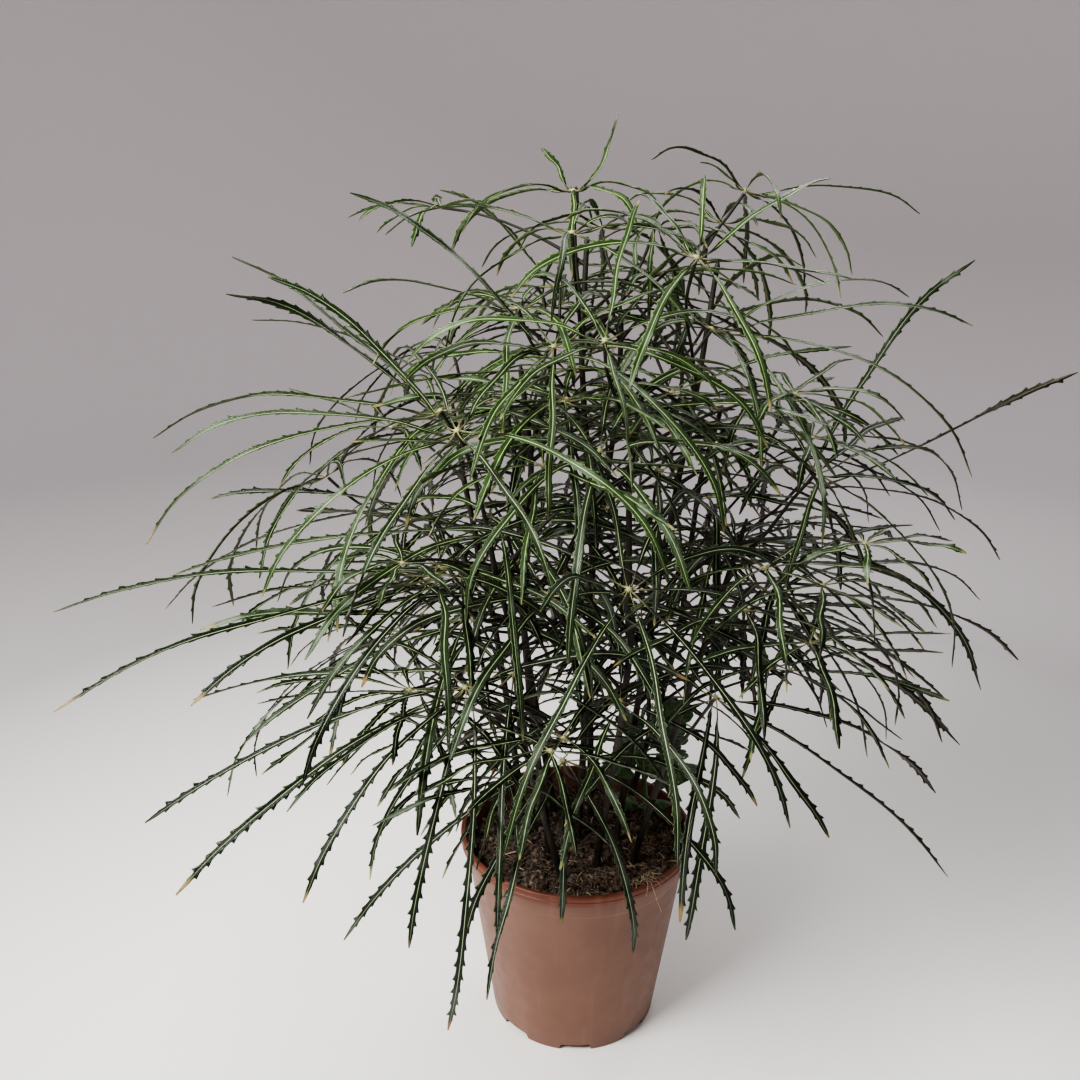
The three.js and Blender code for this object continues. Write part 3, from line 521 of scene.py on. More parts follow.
cane_count = 10
cane_foot_radius, cane_thinning = 3.1, 1.2
axis_step, axis_gap, axis_slack = 8, 60, 4    # millimetres between levels, unread, and aside
scar_spread = 7
stalk_radii = [2.1, 1.9, 1.45, 1.15, 1.05]
small_stalk_radii = [1.7, 1.4, 0.95, 0.85, 1.1]

cane_finish = Finish("speckled_cane_bark", 0.55, 0.4)
bark_tone = cane_finish.mix(cane_finish.span(cane_finish.grain(120, 4, (1, 1, 0.3)), 0.35, 0.68),
                            (0.017, 0.014, 0.011), (0.062, 0.05, 0.04))
bark_height = cane_finish.parts(cane_finish.place())["Z"]
green_share = cane_finish.span(bark_height, 0.34, 0.66, 0.0, 0.55)
greener = cane_finish.mix(green_share, bark_tone, (0.024, 0.032, 0.014))
specks = cane_finish.span(cane_finish.grain(900, 2, (1, 1, 0.6)), 0.66, 0.72, 0.0, 0.6)
cane_finish.colour(cane_finish.mix(specks, greener, (0.3, 0.25, 0.18)))
cane_finish.relief(cane_finish.grain(500, 5, (1, 1, 0.25)), 0.0003)


def merged_copy(node_name):
    """The solid of a node, with its loose triangles joined up."""
    solid = bmesh.new()
    solid.from_mesh(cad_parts[node_name].data)
    bmesh.ops.remove_doubles(solid, verts=solid.verts, dist=0.000008)
    return solid


def walk_layers(solid, start, width, count):
    """Rings of points met one after another from a starting ring, while each has the same width."""
    layers = [list(start)]
    met = set(start)
    while len(layers) < count:
        ahead = {edge.other_vert(vert) for vert in layers[-1] for edge in vert.link_edges} - met
        if len(ahead) != width:
            break
        layers.append(sorted(ahead, key=lambda vert: vert.index))
        met |= ahead
    return layers


def slice_middles(solid, height):
    """The middle and area of each closed outline that a level plane cuts out of a solid."""
    crossing = {}
    for edge in solid.edges:
        low, high = edge.verts[0].co, edge.verts[1].co
        if (low.z - height) * (high.z - height) < 0:
            crossing[edge] = low.lerp(high, (height - low.z) / (high.z - low.z))
    found = []
    while crossing:
        outline = []
        edge = next(iter(crossing))
        while edge is not None:
            outline.append(crossing.pop(edge))
            edge = next((other for face in edge.link_faces for other in face.edges
                         if other in crossing), None)
        area = 0.0
        middle = Vector((0, 0, height))
        for here, after in zip(outline, outline[1:] + outline[:1]):
            part = (here.x * after.y - after.x * here.y) / 2
            area += part
            middle.x += (here.x + after.x) * part / 3
            middle.y += (here.y + after.y) * part / 3
        if len(outline) > 2 and abs(area) > 1e-9:
            found.append((Vector((middle.x / area, middle.y / area, height)), abs(area)))
    return found


pentagon_area = 2.378    # of a five-sided section whose corners are at a radius of one


def cane_axis(solid):
    """The middle line of a cane, followed up from its foot past the stalks that join it."""
    low = min(vert.co.z for vert in solid.verts)
    high = max(vert.co.z for vert in solid.verts)
    axis = []
    height = low + 1 * mm
    while height < high:
        guess = None
        if axis:
            guess = Vector((axis[-1].x, axis[-1].y, height))
        if len(axis) > 1:
            lean = (axis[-1] - axis[-2]) / (axis[-1].z - axis[-2].z)
            guess = axis[-1] + lean * (height - axis[-1].z)
        share = (height - low) / (high - low)
        area = pentagon_area * (cane_foot_radius - cane_thinning * share) ** 2 * mm * mm
        near = [(middle, size) for middle, size in slice_middles(solid, height)
                if 0.6 * area < size < 1.5 * area
                and (guess is None or (middle - guess).length < axis_slack * mm)]
        if near:
            axis.append(min(near, key=lambda found: abs(found[1] - area))[0])
        elif axis and height - axis[-1].z > axis_gap * mm:
            break
        height += axis_step * mm
    return axis


def nearest_on(axis, point):
    """The place on a cane's middle line that is nearest to a point."""
    return min((here.lerp(after, share) for here, after in zip(axis, axis[1:])
                for share in (0, 0.25, 0.5, 0.75, 1)), key=lambda spot: (spot - point).length)


shortest_end_side, longest_end_side = 2.2, 2.3


def stalk_paths(solid, axis):
    """Each stalk's middle line, from inside the cane out to the small triangle that ends it."""
    paths = []
    for face in solid.faces:
        sides = [edge.calc_length() / mm for edge in face.edges]
        if min(sides) < shortest_end_side or max(sides) > longest_end_side:
            continue
        layers = walk_layers(solid, face.verts, 3, 4)
        middles = [sum((vert.co for vert in layer), Vector()) / 3 for layer in layers]
        back = (middles[-1] - middles[-2]).normalized()
        roots = [middles[-1] + back * step * mm for step in range(0, 16)]
        root = min(roots, key=lambda spot: (spot - nearest_on(axis, spot)).length)
        paths.append([nearest_on(axis, root)] + middles[::-1])
    return paths


def add_tube(curve, points, radii):
    """A smooth round line through the points, with its own radius at each."""
    spline = curve.splines.new("BEZIER")
    spline.bezier_points.add(len(points) - 1)
    for knot, point, radius in zip(spline.bezier_points, points, radii):
        knot.co = point
        knot.radius = radius
        knot.handle_left_type = "AUTO"
        knot.handle_right_type = "AUTO"


golden_turn = math.radians(137.5)
inner_leaves, side_leaves, upper_leaves, low_leaves = 5, 2, 2, 3
first_low = inner_leaves + side_leaves + upper_leaves
shoot_place = Vector((0.07, 0.012, 0.2))
before_shoot = Vector((0.045, -0.16, 0.3))
small_leaf_spots = []


def within(value, low=0, high=1):
    """The value, or the end of the range that it passes."""
    return min(max(value, low), high)


def hides_shoot(spot):
    """Whether a place is near the young shoot, or in the gap that the crown leaves before it."""
    gap = before_shoot - shoot_place
    share = within((spot - shoot_place).dot(gap) / gap.length_squared)
    return (spot - shoot_place - gap * share).length < 0.07


def small_leaf_stance(order, number, axis, draw):
    """How far up its cane a small leaf's stalk starts, which way it points and how long it is."""
    if order < inner_leaves:
        share = 0.26 + 0.6 * (order + draw.random()) / inner_leaves
        turn = golden_turn * (order + 4 * number) + draw.uniform(-0.4, 0.4)
        return share, turn, draw.uniform(40, 115)
    if order < inner_leaves + side_leaves:
        share = 0.34 + 0.42 * (order - inner_leaves + draw.random()) / side_leaves
        turn = math.atan2(axis[-1].y, axis[-1].x) + draw.uniform(-0.9, 0.9)
        return share, turn, draw.uniform(70, 140)
    if order < first_low:
        share = draw.uniform(0.78, 0.97)
        turn = golden_turn * (order + 3 * number) + draw.uniform(-0.4, 0.4)
        return share, turn, draw.uniform(60, 125)
    share = draw.uniform(0.08, 0.26)
    turn = math.pi / 2 + draw.uniform(-1.3, 1.3)
    return share, turn, draw.uniform(25, 80)


def small_leaf_stalk(axis, share, turn, length, rise):
    """The line of a small leaf's stalk: out of the cane, upwards, then levelling off."""
    start = axis[round(share * (len(axis) - 1))]
    outward = Vector((math.cos(turn), math.sin(turn), 0))
    return [start + outward * (length * step * mm)
            + Vector((0, 0, length * rise * (step - 0.45 * step ** 2) * mm))
            for step in (0, 0.12, 0.45, 0.75, 1)]


def too_low(spot, order):
    """Whether a small leaf would hang below the crown, or a low one stand before the canes."""
    if order < first_low:
        return spot.z < 0.23 + 0.45 * spot.xy.length
    return spot.y < 0.02 or spot.z < 0.205


def cane_radii(points, axis, stalks, draw):
    """The cane's radius at each point: thinner upwards, and swollen where a stalk joins."""
    radii = []
    for point in points:
        share = (point.z - axis[0].z) / (axis[-1].z - axis[0].z)
        swell = max(1 - abs(point.z - path[0].z) / (scar_spread * mm) for path in stalks)
        radii.append(3.05 - 1.15 * share + 0.35 * max(swell, 0) + draw.uniform(-0.12, 0.12))
    return radii[:-1] + [1.0]


for number in range(1, cane_count + 1):
    node_name = f"cane_{number:02d}"
    solid = merged_copy(node_name)
    axis = cane_axis(solid)
    stalks = stalk_paths(solid, axis)
    solid.free()
    cane_random = random.Random(number)
    curve = bpy.data.curves.new(f"{node_name}_wood", "CURVE")
    curve.dimensions = "3D"
    curve.bevel_depth = 1 * mm
    curve.bevel_resolution = 2
    curve.resolution_u = 3
    curve.use_fill_caps = True
    cane_points = axis[::2] + [axis[-1] + (axis[-1] - axis[-2]) * 0.4]
    add_tube(curve, cane_points, cane_radii(cane_points, axis, stalks, cane_random))
    for path in stalks:
        path.insert(1, path[0].lerp(path[1], 0.4))
        add_tube(curve, path, stalk_radii[:len(path) - 1] + [1.3])
    for order in range(first_low + low_leaves):
        share, turn, length = small_leaf_stance(order, number, axis, cane_random)
        path = small_leaf_stalk(axis, share, turn, length, cane_random.uniform(0.3, 1.0))
        if hides_shoot(path[-1]) or too_low(path[-1], order):
            continue
        add_tube(curve, path, small_stalk_radii)
        small_leaf_spots.append((number, np.array(path[-1]), turn))
    wood = bpy.data.objects.new(f"{node_name}_wood", curve)
    bpy.context.scene.collection.objects.link(wood)
    select_only(wood)
    bpy.ops.object.convert(target="MESH")
    wood = bpy.context.object
    for face in wood.data.polygons:
        face.use_smooth = True
    wood.data.materials.clear()
    wood.data.materials.append(cane_finish.material)
    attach(wood, "root")
    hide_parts(node_name)


# Leaves
# Each real leaf is a fan of six to nine thin, leathery leaflets on a small pale hub. A leaflet
# is a narrow folded blade with a pale raised midrib, forward-hooked teeth and a dry pointed tip.

leaf_count = 47
leaflet_fold = 0.34
never_dry = 2.0
blade_samples = 72
master_lengths = (0.09, 0.135, 0.185)
curling_share = 0.16
keel_below, edge_beyond = -0.1, 0.99
knob_segments = 12
leaflet_start, leaflet_raise = 1.2, 0.2

# A blade's columns stand at these shares of its half width. Along one tooth, rise is how far each
# row stands out, and hook how far it leans towards the tip.
fine_blade = {"columns": (0.0, 0.13, 0.55, 1.0), "rise": (-0.06, -0.1, 0.1, 1.0),
              "hook": (0.3, 0.0, 0.45, 0.95)}
plain_blade = {"columns": (0.0, 1.0), "rise": (-0.1, 1.0), "hook": (0.1, 0.85)}


def blade_half_width(share):
    """Half of the blade's width between its teeth, in millimetres."""
    return float(np.interp(share, [0, 0.03, 0.06, 0.12, 0.25, 0.42, 0.62, 0.78, 0.9, 0.96, 1],
                           [0.9, 0.75, 0.95, 1.5, 2.1, 2.6, 3.0, 2.9, 2.2, 1.6, 0.6]))


def model_strip(halves, rows):
    """A strip one unit long, closed along the middle of its underside by a keel."""
    start_piece()
    bpy.ops.mesh.primitive_grid_add(x_subdivisions=2 * halves, y_subdivisions=rows, size=2)
    blade = bpy.context.object
    edit_all()
    bpy.ops.transform.translate(value=(0, 1, 0))
    bpy.ops.transform.resize(value=(1, 0.5, 1), center_override=(0, 0, 0))
    for side in (-1, 1):
        select_parts(blade, "VERT",
                     lambda spot: spot.x * side > edge_beyond and spot.z > keel_below)
        bpy.ops.mesh.extrude_edges_move(TRANSFORM_OT_translate={"value": (-side, 0, -0.5)})
    bpy.ops.mesh.select_all(action="SELECT")
    bpy.ops.mesh.remove_doubles(threshold=0.001)
    face_outwards()
    return lift_shape(blade)


def draw_outline(flat, across, rows, make, draw):
    """The strip drawn out to a blade's width, and how far each point stands out as a tooth."""
    pitch = len(make["rise"])
    tooth_sizes = {side: [draw.uniform(0.7, 1.9) * (draw.random() > 0.12) for _ in range(rows)]
                   for side in (-1, 1)}
    tooth_phase = {-1: 0, 1: draw.randint(1, pitch - 1)}
    shape, teeth_out = [], []
    for (x, y, z), aside in zip(flat, across):
        row = round(y * rows)
        side = -1 if x < 0 else 1
        half = blade_half_width(y)
        tooth, hook = 0.0, 0.0
        if pitch < row < rows - pitch:
            number, phase = divmod(row + tooth_phase[side], pitch)
            size = tooth_sizes[side][number] * min(1, (y - 0.06) / 0.25)
            tooth = make["rise"][phase] * size * aside ** 5
            hook = make["hook"][phase] / rows * min(size, 1.2)
        ridge = 0.16 if aside < 0.05 else 0
        height = ridge if z > keel_below else -0.5 * min(1, half / 1.2)
        shape.append((side * aside * half, y + hook * aside ** 2, height))
        teeth_out.append(side * tooth)
    return np.array(shape), np.array(teeth_out)


def map_blade(flat, across, faces):
    """Each face corner's place on the blade: along it, and across it, with the underside apart."""
    sheet = []
    for face in faces:
        under = all(flat[corner][2] < keel_below or abs(flat[corner][0]) > edge_beyond
                    for corner in face)
        for corner in face:
            side = -1 if flat[corner][0] < 0 else 1
            sheet.append((flat[corner][1], 0.25 + 0.2 * side * across[corner] + 0.5 * under))
    return np.array(sheet)


def model_leaflet(teeth, seed, make):
    """A flat leaflet: its points, its teeth, its faces and its map."""
    halves = len(make["columns"]) - 1
    rows = len(make["rise"]) * (teeth + 1) + 3
    flat, faces = model_strip(halves, rows)
    across = [make["columns"][round(abs(x) * halves)] if z > keel_below else 0
              for x, y, z in flat]
    shape, teeth_out = draw_outline(flat, across, rows, make, random.Random(seed))
    return shape, teeth_out, faces, map_blade(flat, across, faces)


leaflet_masters = [[model_leaflet(teeth, 10 * teeth + turn, fine_blade) for turn in range(4)]
                   for teeth in (8, 12, 16, 20)]
plain_masters = [[model_leaflet(teeth, 10 * teeth + turn, plain_blade) for turn in range(4)]
                 for teeth in (9, 12, 15, 18)]


def smooth_line(knots, places, at):
    """A smooth line through the knots, which lie at the given places along it."""
    knots, places = np.array(knots), np.array(places)
    slopes = (knots[1:] - knots[:-1]) / (places[1:] - places[:-1])[:, None]
    lean = np.vstack([slopes[:1], (slopes[1:] + slopes[:-1]) / 2, slopes[-1:]])
    spot = np.clip(np.searchsorted(places, at, side="right") - 1, 0, len(places) - 2)
    step = (places[spot + 1] - places[spot])[:, None]
    t = ((at - places[spot]) / (places[spot + 1] - places[spot]))[:, None]
    return ((2 * t ** 3 - 3 * t ** 2 + 1) * knots[spot]
            + (t ** 3 - 2 * t ** 2 + t) * step * lean[spot]
            + (3 * t ** 2 - 2 * t ** 3) * knots[spot + 1]
            + (t ** 3 - t ** 2) * step * lean[spot + 1])


def read_leaflet(solid, tip):
    """The middle line and upper side of a leaflet, from its tip back to its hub."""
    layers = walk_layers(solid, [tip], 3, 6)[1:]
    line, uppers = [], []
    for layer in layers:
        spots = [np.array(vert.co) for vert in layer]
        pairs = [(np.linalg.norm(spots[a] - spots[b]), a, b, 3 - a - b)
                 for a, b in ((0, 1), (0, 2), (1, 2))]
        width, a, b, rib = max(pairs)
        edge = (spots[b] - spots[a]) / width
        middle = spots[a] + edge * np.dot(spots[rib] - spots[a], edge)
        line.append(middle)
        uppers.append((middle - spots[rib]) / np.linalg.norm(middle - spots[rib]))
    return line[::-1] + [np.array(tip.co)], uppers[::-1] + [uppers[0]]


def wander(samples, most, draw):
    """A slight sideways wave along a blade that dies out at both ends."""
    return (np.sin(samples * math.pi) * mm * draw.uniform(0.3, most)
            * np.sin(samples * draw.uniform(7, 13) + draw.uniform(0, 6)))[:, None]


def blade_twist(samples, draw):
    """How far the blade turns about its own line. Now and then one curls over near its tip."""
    twist = (draw.gauss(0, 0.22) + draw.gauss(0, 0.35) * samples
             + draw.gauss(0, 0.12) * np.sin(samples * 9))
    if draw.random() < curling_share:
        curl = draw.choice((-1, 1)) * draw.uniform(0.8, 2.2)
        twist = twist + curl * np.clip(samples - 0.6, 0, 1) / 0.4
    return twist[:, None]


def turn_faces(faces, sheet):
    """The faces and their map with each face's corners taken the other way round."""
    ends = np.cumsum([len(face) for face in faces])
    corners = [sheet[end - len(face):end][::-1] for face, end in zip(faces, ends)]
    return [face[::-1] for face in faces], np.concatenate(corners)


def lay_leaflet(line, uppers, hub, draw, mood, slender, toothed, masters=leaflet_masters):
    """One leaflet laid along its line, with its own wave, twist and curl."""
    radial = line[0] - hub
    start = hub + radial / np.linalg.norm(radial) * leaflet_start * mm
    start = start + uppers[0] * leaflet_raise * mm
    knots = [start] + line
    places = np.cumsum([0] + [np.linalg.norm(b - a) for a, b in zip(knots, knots[1:])])
    length = places[-1]
    size = sum(length >= step for step in master_lengths)
    shape, teeth_out, faces, sheet = draw.choice(masters[size])
    width = shape[:, 0] * slender + teeth_out * toothed
    mirror = draw.choice((-1, 1))
    samples = np.linspace(0, 1, blade_samples)
    path = smooth_line(knots, places, samples * length)
    along = unit_rows(np.gradient(path, axis=0))
    facing = smooth_line([uppers[0]] + uppers, places, samples * length)
    side = unit_rows(np.cross(facing, along))
    upper = np.cross(along, side)
    path = path + side * wander(samples, 1.3, draw)
    path = path + upper * wander(samples, 1.2, draw)
    twist = blade_twist(samples, draw)
    turned_side = side * np.cos(twist) + upper * np.sin(twist)
    turned_upper = upper * np.cos(twist) - side * np.sin(twist)
    share = np.clip(shape[:, 1], 0, 1)

    def at(table):
        return np.stack([np.interp(share, samples, table[:, axis]) for axis in range(3)], axis=1)

    ripple = draw.uniform(0.15, 0.5) * np.sin(share * draw.uniform(14, 24) + draw.uniform(0, 6)
                                              + 1.4 * np.sign(shape[:, 0]))
    lift = shape[:, 2] + (leaflet_fold + ripple / 2.5) * np.abs(width)
    points = (at(path) + at(turned_side) * (width * mirror * mm)[:, None]
              + at(turned_upper) * (lift * mm)[:, None])
    if mirror < 0:
        faces, sheet = turn_faces(faces, sheet)
    return points, faces, {"blade": sheet, "mood": same_for_all(mood, points)}


def carries_point(spot):
    """Whether a face of the knob is one of those, in every other wedge, that a point grows from."""
    wedge = math.degrees(math.atan2(spot.y, spot.x)) // (360 / knob_segments)
    return 0.1 < spot.z < 0.6 and wedge % 2 == 0


start_piece()
bpy.ops.mesh.primitive_uv_sphere_add(segments=knob_segments, ring_count=6, radius=1)
knob = bpy.context.object
select_parts(knob, "FACE", carries_point)
bpy.ops.mesh.extrude_faces_move(TRANSFORM_OT_shrink_fatten={"value": 0.9})
bpy.ops.transform.resize(value=(1.15, 1.15, 1.3))
bpy.ops.mesh.merge(type="COLLAPSE")
bpy.ops.object.mode_set(mode="OBJECT")
knob_points, knob_faces = lift_shape(knob)


def hub_knob(top, bottom, mood):
    """The small pale knob, with its papery points, that a leaf's leaflets spring from."""
    axis = Vector(top - bottom).normalized()
    frame_turn = np.array(axis.to_track_quat("Z", "Y").to_matrix())
    points = knob_points * np.array([1.7, 1.7, 1.5]) * mm
    points = points @ frame_turn.T + (top * 0.5 + bottom * 0.5)
    sheet = np.array([(0.0, 0.25) for face in knob_faces for corner in face])
    return points, knob_faces, {"blade": sheet, "mood": same_for_all(mood, points)}


leaf_finish = Finish("leathery_leaf", 0.34, 0.36)
blade_place = leaf_finish.parts(leaf_finish.node("UVMap", {"uv_map": "blade"}).outputs["UV"])
leaf_mood = leaf_finish.held_values("mood")
along_blade = blade_place["X"]
is_under = leaf_finish.maths("GREATER_THAN", blade_place["Y"], 0.5)
across_raw = leaf_finish.maths("SUBTRACT", blade_place["Y"], leaf_finish.times(is_under, 0.5))
across_blade = leaf_finish.times(
    leaf_finish.maths("ABSOLUTE", leaf_finish.maths("SUBTRACT", across_raw, 0.25)), 5.0)
brightness = leaf_mood["X"]
dry_start = leaf_mood["Y"]
# The third held value sets how fresh and how lit a leaflet is painted: greener young growth high up,
# painted light on the lit side and painted shade on the back and low leaves. It picks the greens of
# the blade, rib, underside and margin.
fresh_and_lit = leaf_mood["Z"]
dark_green = leaf_finish.mix(brightness, (0.0042, 0.008, 0.0042), (0.0105, 0.0215, 0.0095))
fresh_lit_green = leaf_finish.mix(brightness, (0.018, 0.044, 0.009), (0.06, 0.128, 0.026))
blade_green = leaf_finish.mix(fresh_and_lit, dark_green, fresh_lit_green)
mottle = leaf_finish.span(leaf_finish.grain(160, 4), 0.3, 0.7, 0.0, 1.0)
mottled = leaf_finish.mix(leaf_finish.times(mottle, 0.35), blade_green, (0.016, 0.025, 0.016))
# Painted sheen: greyish patches over the outer part of the blades, stronger on brighter leaflets,
# stand in for the window light glancing off the glossy upper faces.
painted_sheen_patch = leaf_finish.span(leaf_finish.grain(17, 3), 0.55, 0.66)
painted_sheen_along = leaf_finish.span(along_blade, 0.2, 0.7, 0.05, 0.6)
painted_sheen_share = leaf_finish.times(painted_sheen_patch, leaf_finish.span(brightness, 0.2, 0.9, 0.2, 1.15))
sheened_blade = leaf_finish.mix(leaf_finish.times(painted_sheen_share, painted_sheen_along), mottled, (0.3, 0.37, 0.28))
inner_glow = leaf_finish.span(across_blade, 0.08, 0.25, 0.12, 0.0)
upper_face = leaf_finish.mix(inner_glow, sheened_blade, (0.08, 0.15, 0.04))
rib_width = leaf_finish.span(along_blade, 0.08, 0.9, 0.1, 0.05)
rib_share = leaf_finish.span(leaf_finish.maths("SUBTRACT", across_blade, rib_width),
                             -0.02, 0.03, 1.0, 0.0)
rib_tone = leaf_finish.mix(fresh_and_lit, (0.62, 0.7, 0.42), (0.76, 0.9, 0.42))
rib_fade = leaf_finish.span(along_blade, 0.1, 1.0, 0.95, 0.55)
upper_ribbed = leaf_finish.mix(leaf_finish.times(rib_share, rib_fade), upper_face, rib_tone)
under_tone = leaf_finish.mix(fresh_and_lit, (0.03, 0.024, 0.023), (0.055, 0.1, 0.03))
under_ribbed = leaf_finish.mix(leaf_finish.span(across_blade, 0.05, 0.3, 0.75, 0.0),
                               under_tone, (0.2, 0.18, 0.12))
two_faced = leaf_finish.mix(is_under, upper_ribbed, under_ribbed)
margin_share = leaf_finish.span(across_blade, 0.82, 1.0, 0.0, 0.85)
margin_tone = leaf_finish.mix(fresh_and_lit, (0.22, 0.27, 0.16), (0.5, 0.66, 0.26))
edged = leaf_finish.mix(margin_share, two_faced, margin_tone)
base_share = leaf_finish.span(along_blade, 0.015, 0.09, 0.95, 0.0)
based = leaf_finish.mix(base_share, edged, (0.44, 0.43, 0.22))
dry_share = leaf_finish.span(leaf_finish.maths("SUBTRACT", along_blade, dry_start), 0.0, 0.035)
dry_tone = leaf_finish.mix(brightness, (0.36, 0.22, 0.11), (0.34, 0.36, 0.14))
leaf_finish.colour(leaf_finish.mix(dry_share, based, dry_tone))
leaf_finish.dull(leaf_finish.span(leaf_finish.grain(220, 3), 0.3, 0.7, 0.27, 0.41))
vein_wave = leaf_finish.node("TexWave", {"wave_type": "BANDS", "bands_direction": "X"}, {
    "Vector": leaf_finish.node("CombineXYZ", values={
        "X": leaf_finish.maths("ADD", leaf_finish.times(along_blade, 9.0),
                               leaf_finish.times(across_blade, -0.35))}).outputs["Vector"],
    "Scale": 2.2, "Distortion": 0.6}).outputs["Fac"]
leaf_finish.relief(leaf_finish.maths("ADD", leaf_finish.times(vein_wave, 0.6),
                                     leaf_finish.grain(700, 3)), 0.00025)

for number in range(1, leaf_count + 1):
    node_name = f"leaf_{number:02d}"
    solid = merged_copy(node_name)
    draw = random.Random(500 + number)
    hub_ends = sorted(solid.verts, key=lambda vert: len(vert.link_edges))[-2:]
    hub_bottom, hub_top = sorted((np.array(vert.co) for vert in hub_ends), key=lambda end: end[2])
    hub = (hub_top + hub_bottom) / 2
    # A leaf is painted greener higher up, as young growth, and brighter towards the front and right,
    # where the light falls: painted light, with painted shade on the lower and back leaves.
    height_share = within((hub[2] - 0.36) / 0.3)
    light_side = within(0.5 + hub[0] * 1.6 - hub[1] * 0.8)
    leaf_fresh_and_lit = 0.02 + 1.1 * height_share ** 1.6 * (0.5 + 0.5 * light_side)
    leaf_fresh_and_lit = min(1, leaf_fresh_and_lit + draw.uniform(0, 0.12))
    leaf_bright = draw.uniform(0.25, 0.75)
    slender = draw.uniform(0.7, 1.0) * (1.02 - 0.2 * height_share)
    toothed = draw.uniform(0.8, 1.15) * (1.1 - 0.45 * height_share)
    shapes = [hub_knob(hub_top, hub_bottom, (leaf_bright, never_dry, leaf_fresh_and_lit))]
    for tip in [vert for vert in solid.verts if len(vert.link_edges) == 3]:
        line, uppers = read_leaflet(solid, tip)
        dry = draw.choice((0.93, 0.95, 0.965, 0.98, 0.98, 1.1))
        mood = (within(leaf_bright + draw.uniform(-0.25, 0.25)), dry,
                within(leaf_fresh_and_lit + draw.uniform(-0.25, 0.2)))
        shapes.append(lay_leaflet(line, uppers, hub, draw, mood, slender, toothed))
    solid.free()
    leaf = gather(f"{node_name}_leaflets", shapes)
    leaf.data.materials.append(leaf_finish.material)
    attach(leaf, "root")
    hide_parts(node_name)


# Small leaves
# Inside the crown, at its sides and top, and low behind the canes, the real plant has smaller
# leaves on shorter stalks. They fill the space round the canes, and are painted darker the lower
# they grow, as shade inside the crown.

crown_reach = 0.29
fan_angle = math.radians(310)
pot_reach, above_pot, above_floor = 0.102, 0.176, 0.03


def arched_leaflet(hub, turn, length, rise, droop):
    """A leaflet's middle line and upper side, rising from the hub and then hanging over."""
    outward = np.array([math.cos(turn), math.sin(turn), 0])
    across = np.cross([0, 0, 1], outward)
    shares = np.array([0.04, 0.2, 0.42, 0.63, 0.83, 1])
    reach = shares - 0.3 * droop * shares ** 2.4
    height = rise * shares - droop * shares ** 2
    line = hub + (outward * reach[:, None] + np.array([0, 0, 1]) * height[:, None]) * length
    return list(line), list(unit_rows(np.cross(np.gradient(line, axis=0), across)))


def clear_of_pot(line):
    """Whether a leaflet stays over the rim or beside the pot, and off the floor."""
    aside = np.hypot(line[:, 0], line[:, 1])
    return bool(np.all(line[:, 2] > np.where(aside < pot_reach, above_pot, above_floor)))


def small_leaf(hub, turn, draw):
    """A fan of plain, narrow leaflets on its own small knob, kept inside the crown."""
    leaf_bright = draw.uniform(0.2, 0.8)
    # A small leaf's green is painted darker the lower it sits: painted shade inside the crown, and
    # greener young growth higher up.
    leaf_fresh_and_lit = within((hub[2] - 0.38) / 0.25, 0, 0.8)
    shapes = [hub_knob(hub + [0, 0, 0.001], hub - [0, 0, 0.001], (leaf_bright, never_dry, 0.1))]
    reach = crown_reach - 0.4 * max(hub[2] - 0.42, 0) - 0.6 * max(0.33 - hub[2], 0)
    longest = max(reach - math.hypot(hub[0], hub[1]), 0.06)
    fingers = draw.choice((6, 7, 7, 8))
    for finger in range(fingers):
        spread = (finger - (fingers - 1) / 2) * fan_angle / fingers
        length = draw.uniform(0.1, 0.175) * (0.68 + 0.32 * math.cos(spread / 2))
        line, uppers = arched_leaflet(hub, turn + spread + draw.uniform(-0.15, 0.15),
                                      min(length, longest), draw.uniform(0.05, 0.35),
                                      draw.uniform(0.1, 0.6))
        if clear_of_pot(np.array(line)) and not hides_shoot(Vector(line[3])):
            mood = (within(leaf_bright + draw.uniform(-0.2, 0.2)), draw.choice((0.93, 0.96, 1.1)),
                    leaf_fresh_and_lit + draw.uniform(0.05, 0.35))
            shapes.append(lay_leaflet(line, uppers, hub, draw, mood, draw.uniform(0.6, 0.85),
                                      0.65, plain_masters))
    return shapes


for number in range(1, cane_count + 1):
    draw = random.Random(900 + number)
    shapes = []
    for cane, hub, turn in small_leaf_spots:
        if cane == number:
            shapes += small_leaf(hub, turn, draw)
    inner = gather(f"cane_{number:02d}_inner_leaves", shapes)
    inner.data.materials.append(leaf_finish.material)
    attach(inner, "root")


# Young shoot
# The real piece is a low side shoot with broad, dark, round-lobed young leaves on short stalks.
# It stands among the canes, towards the right and the back of the pot.

shoot_small_leaves = 7
broad_middle_edges = 14
shoot_solid = merged_copy("young_shoot")
broad_middles = [vert for vert in shoot_solid.verts if len(vert.link_edges) > broad_middle_edges]
broad_places = []
for vert in broad_middles:
    twin = min((other for other in broad_middles if other is not vert),
               key=lambda other: (other.co - vert.co).length)
    if twin.co.z > vert.co.z:
        continue
    around = sorted((edge.other_vert(vert).co for edge in vert.link_edges),
                    key=lambda spot: (spot - vert.co).length)
    root = sum(around[-4:], Vector()) / 4
    broad_places.append((root, around[-5].copy(), (vert.co - twin.co).normalized()))
shoot_solid.free()

stem_foot = Vector((60, 12, 130)) * mm
stem_bend = Vector((60, 12, 156)) * mm
stem_top = Vector((52, 18, 250)) * mm
shoot_random = random.Random(31)
for small in range(shoot_small_leaves):
    root = stem_bend.lerp(stem_top, 0.2 + 0.8 * small / (shoot_small_leaves - 1))
    turn = 2.6 + golden_turn * small
    outward = Vector((math.cos(turn), math.sin(turn), shoot_random.uniform(0.2, 0.7))).normalized()
    across = outward.cross(Vector((0, 0, 1))).normalized()
    tip = root + outward * shoot_random.uniform(30, 38) * mm
    broad_places.append((root, tip, across.cross(outward).normalized()))

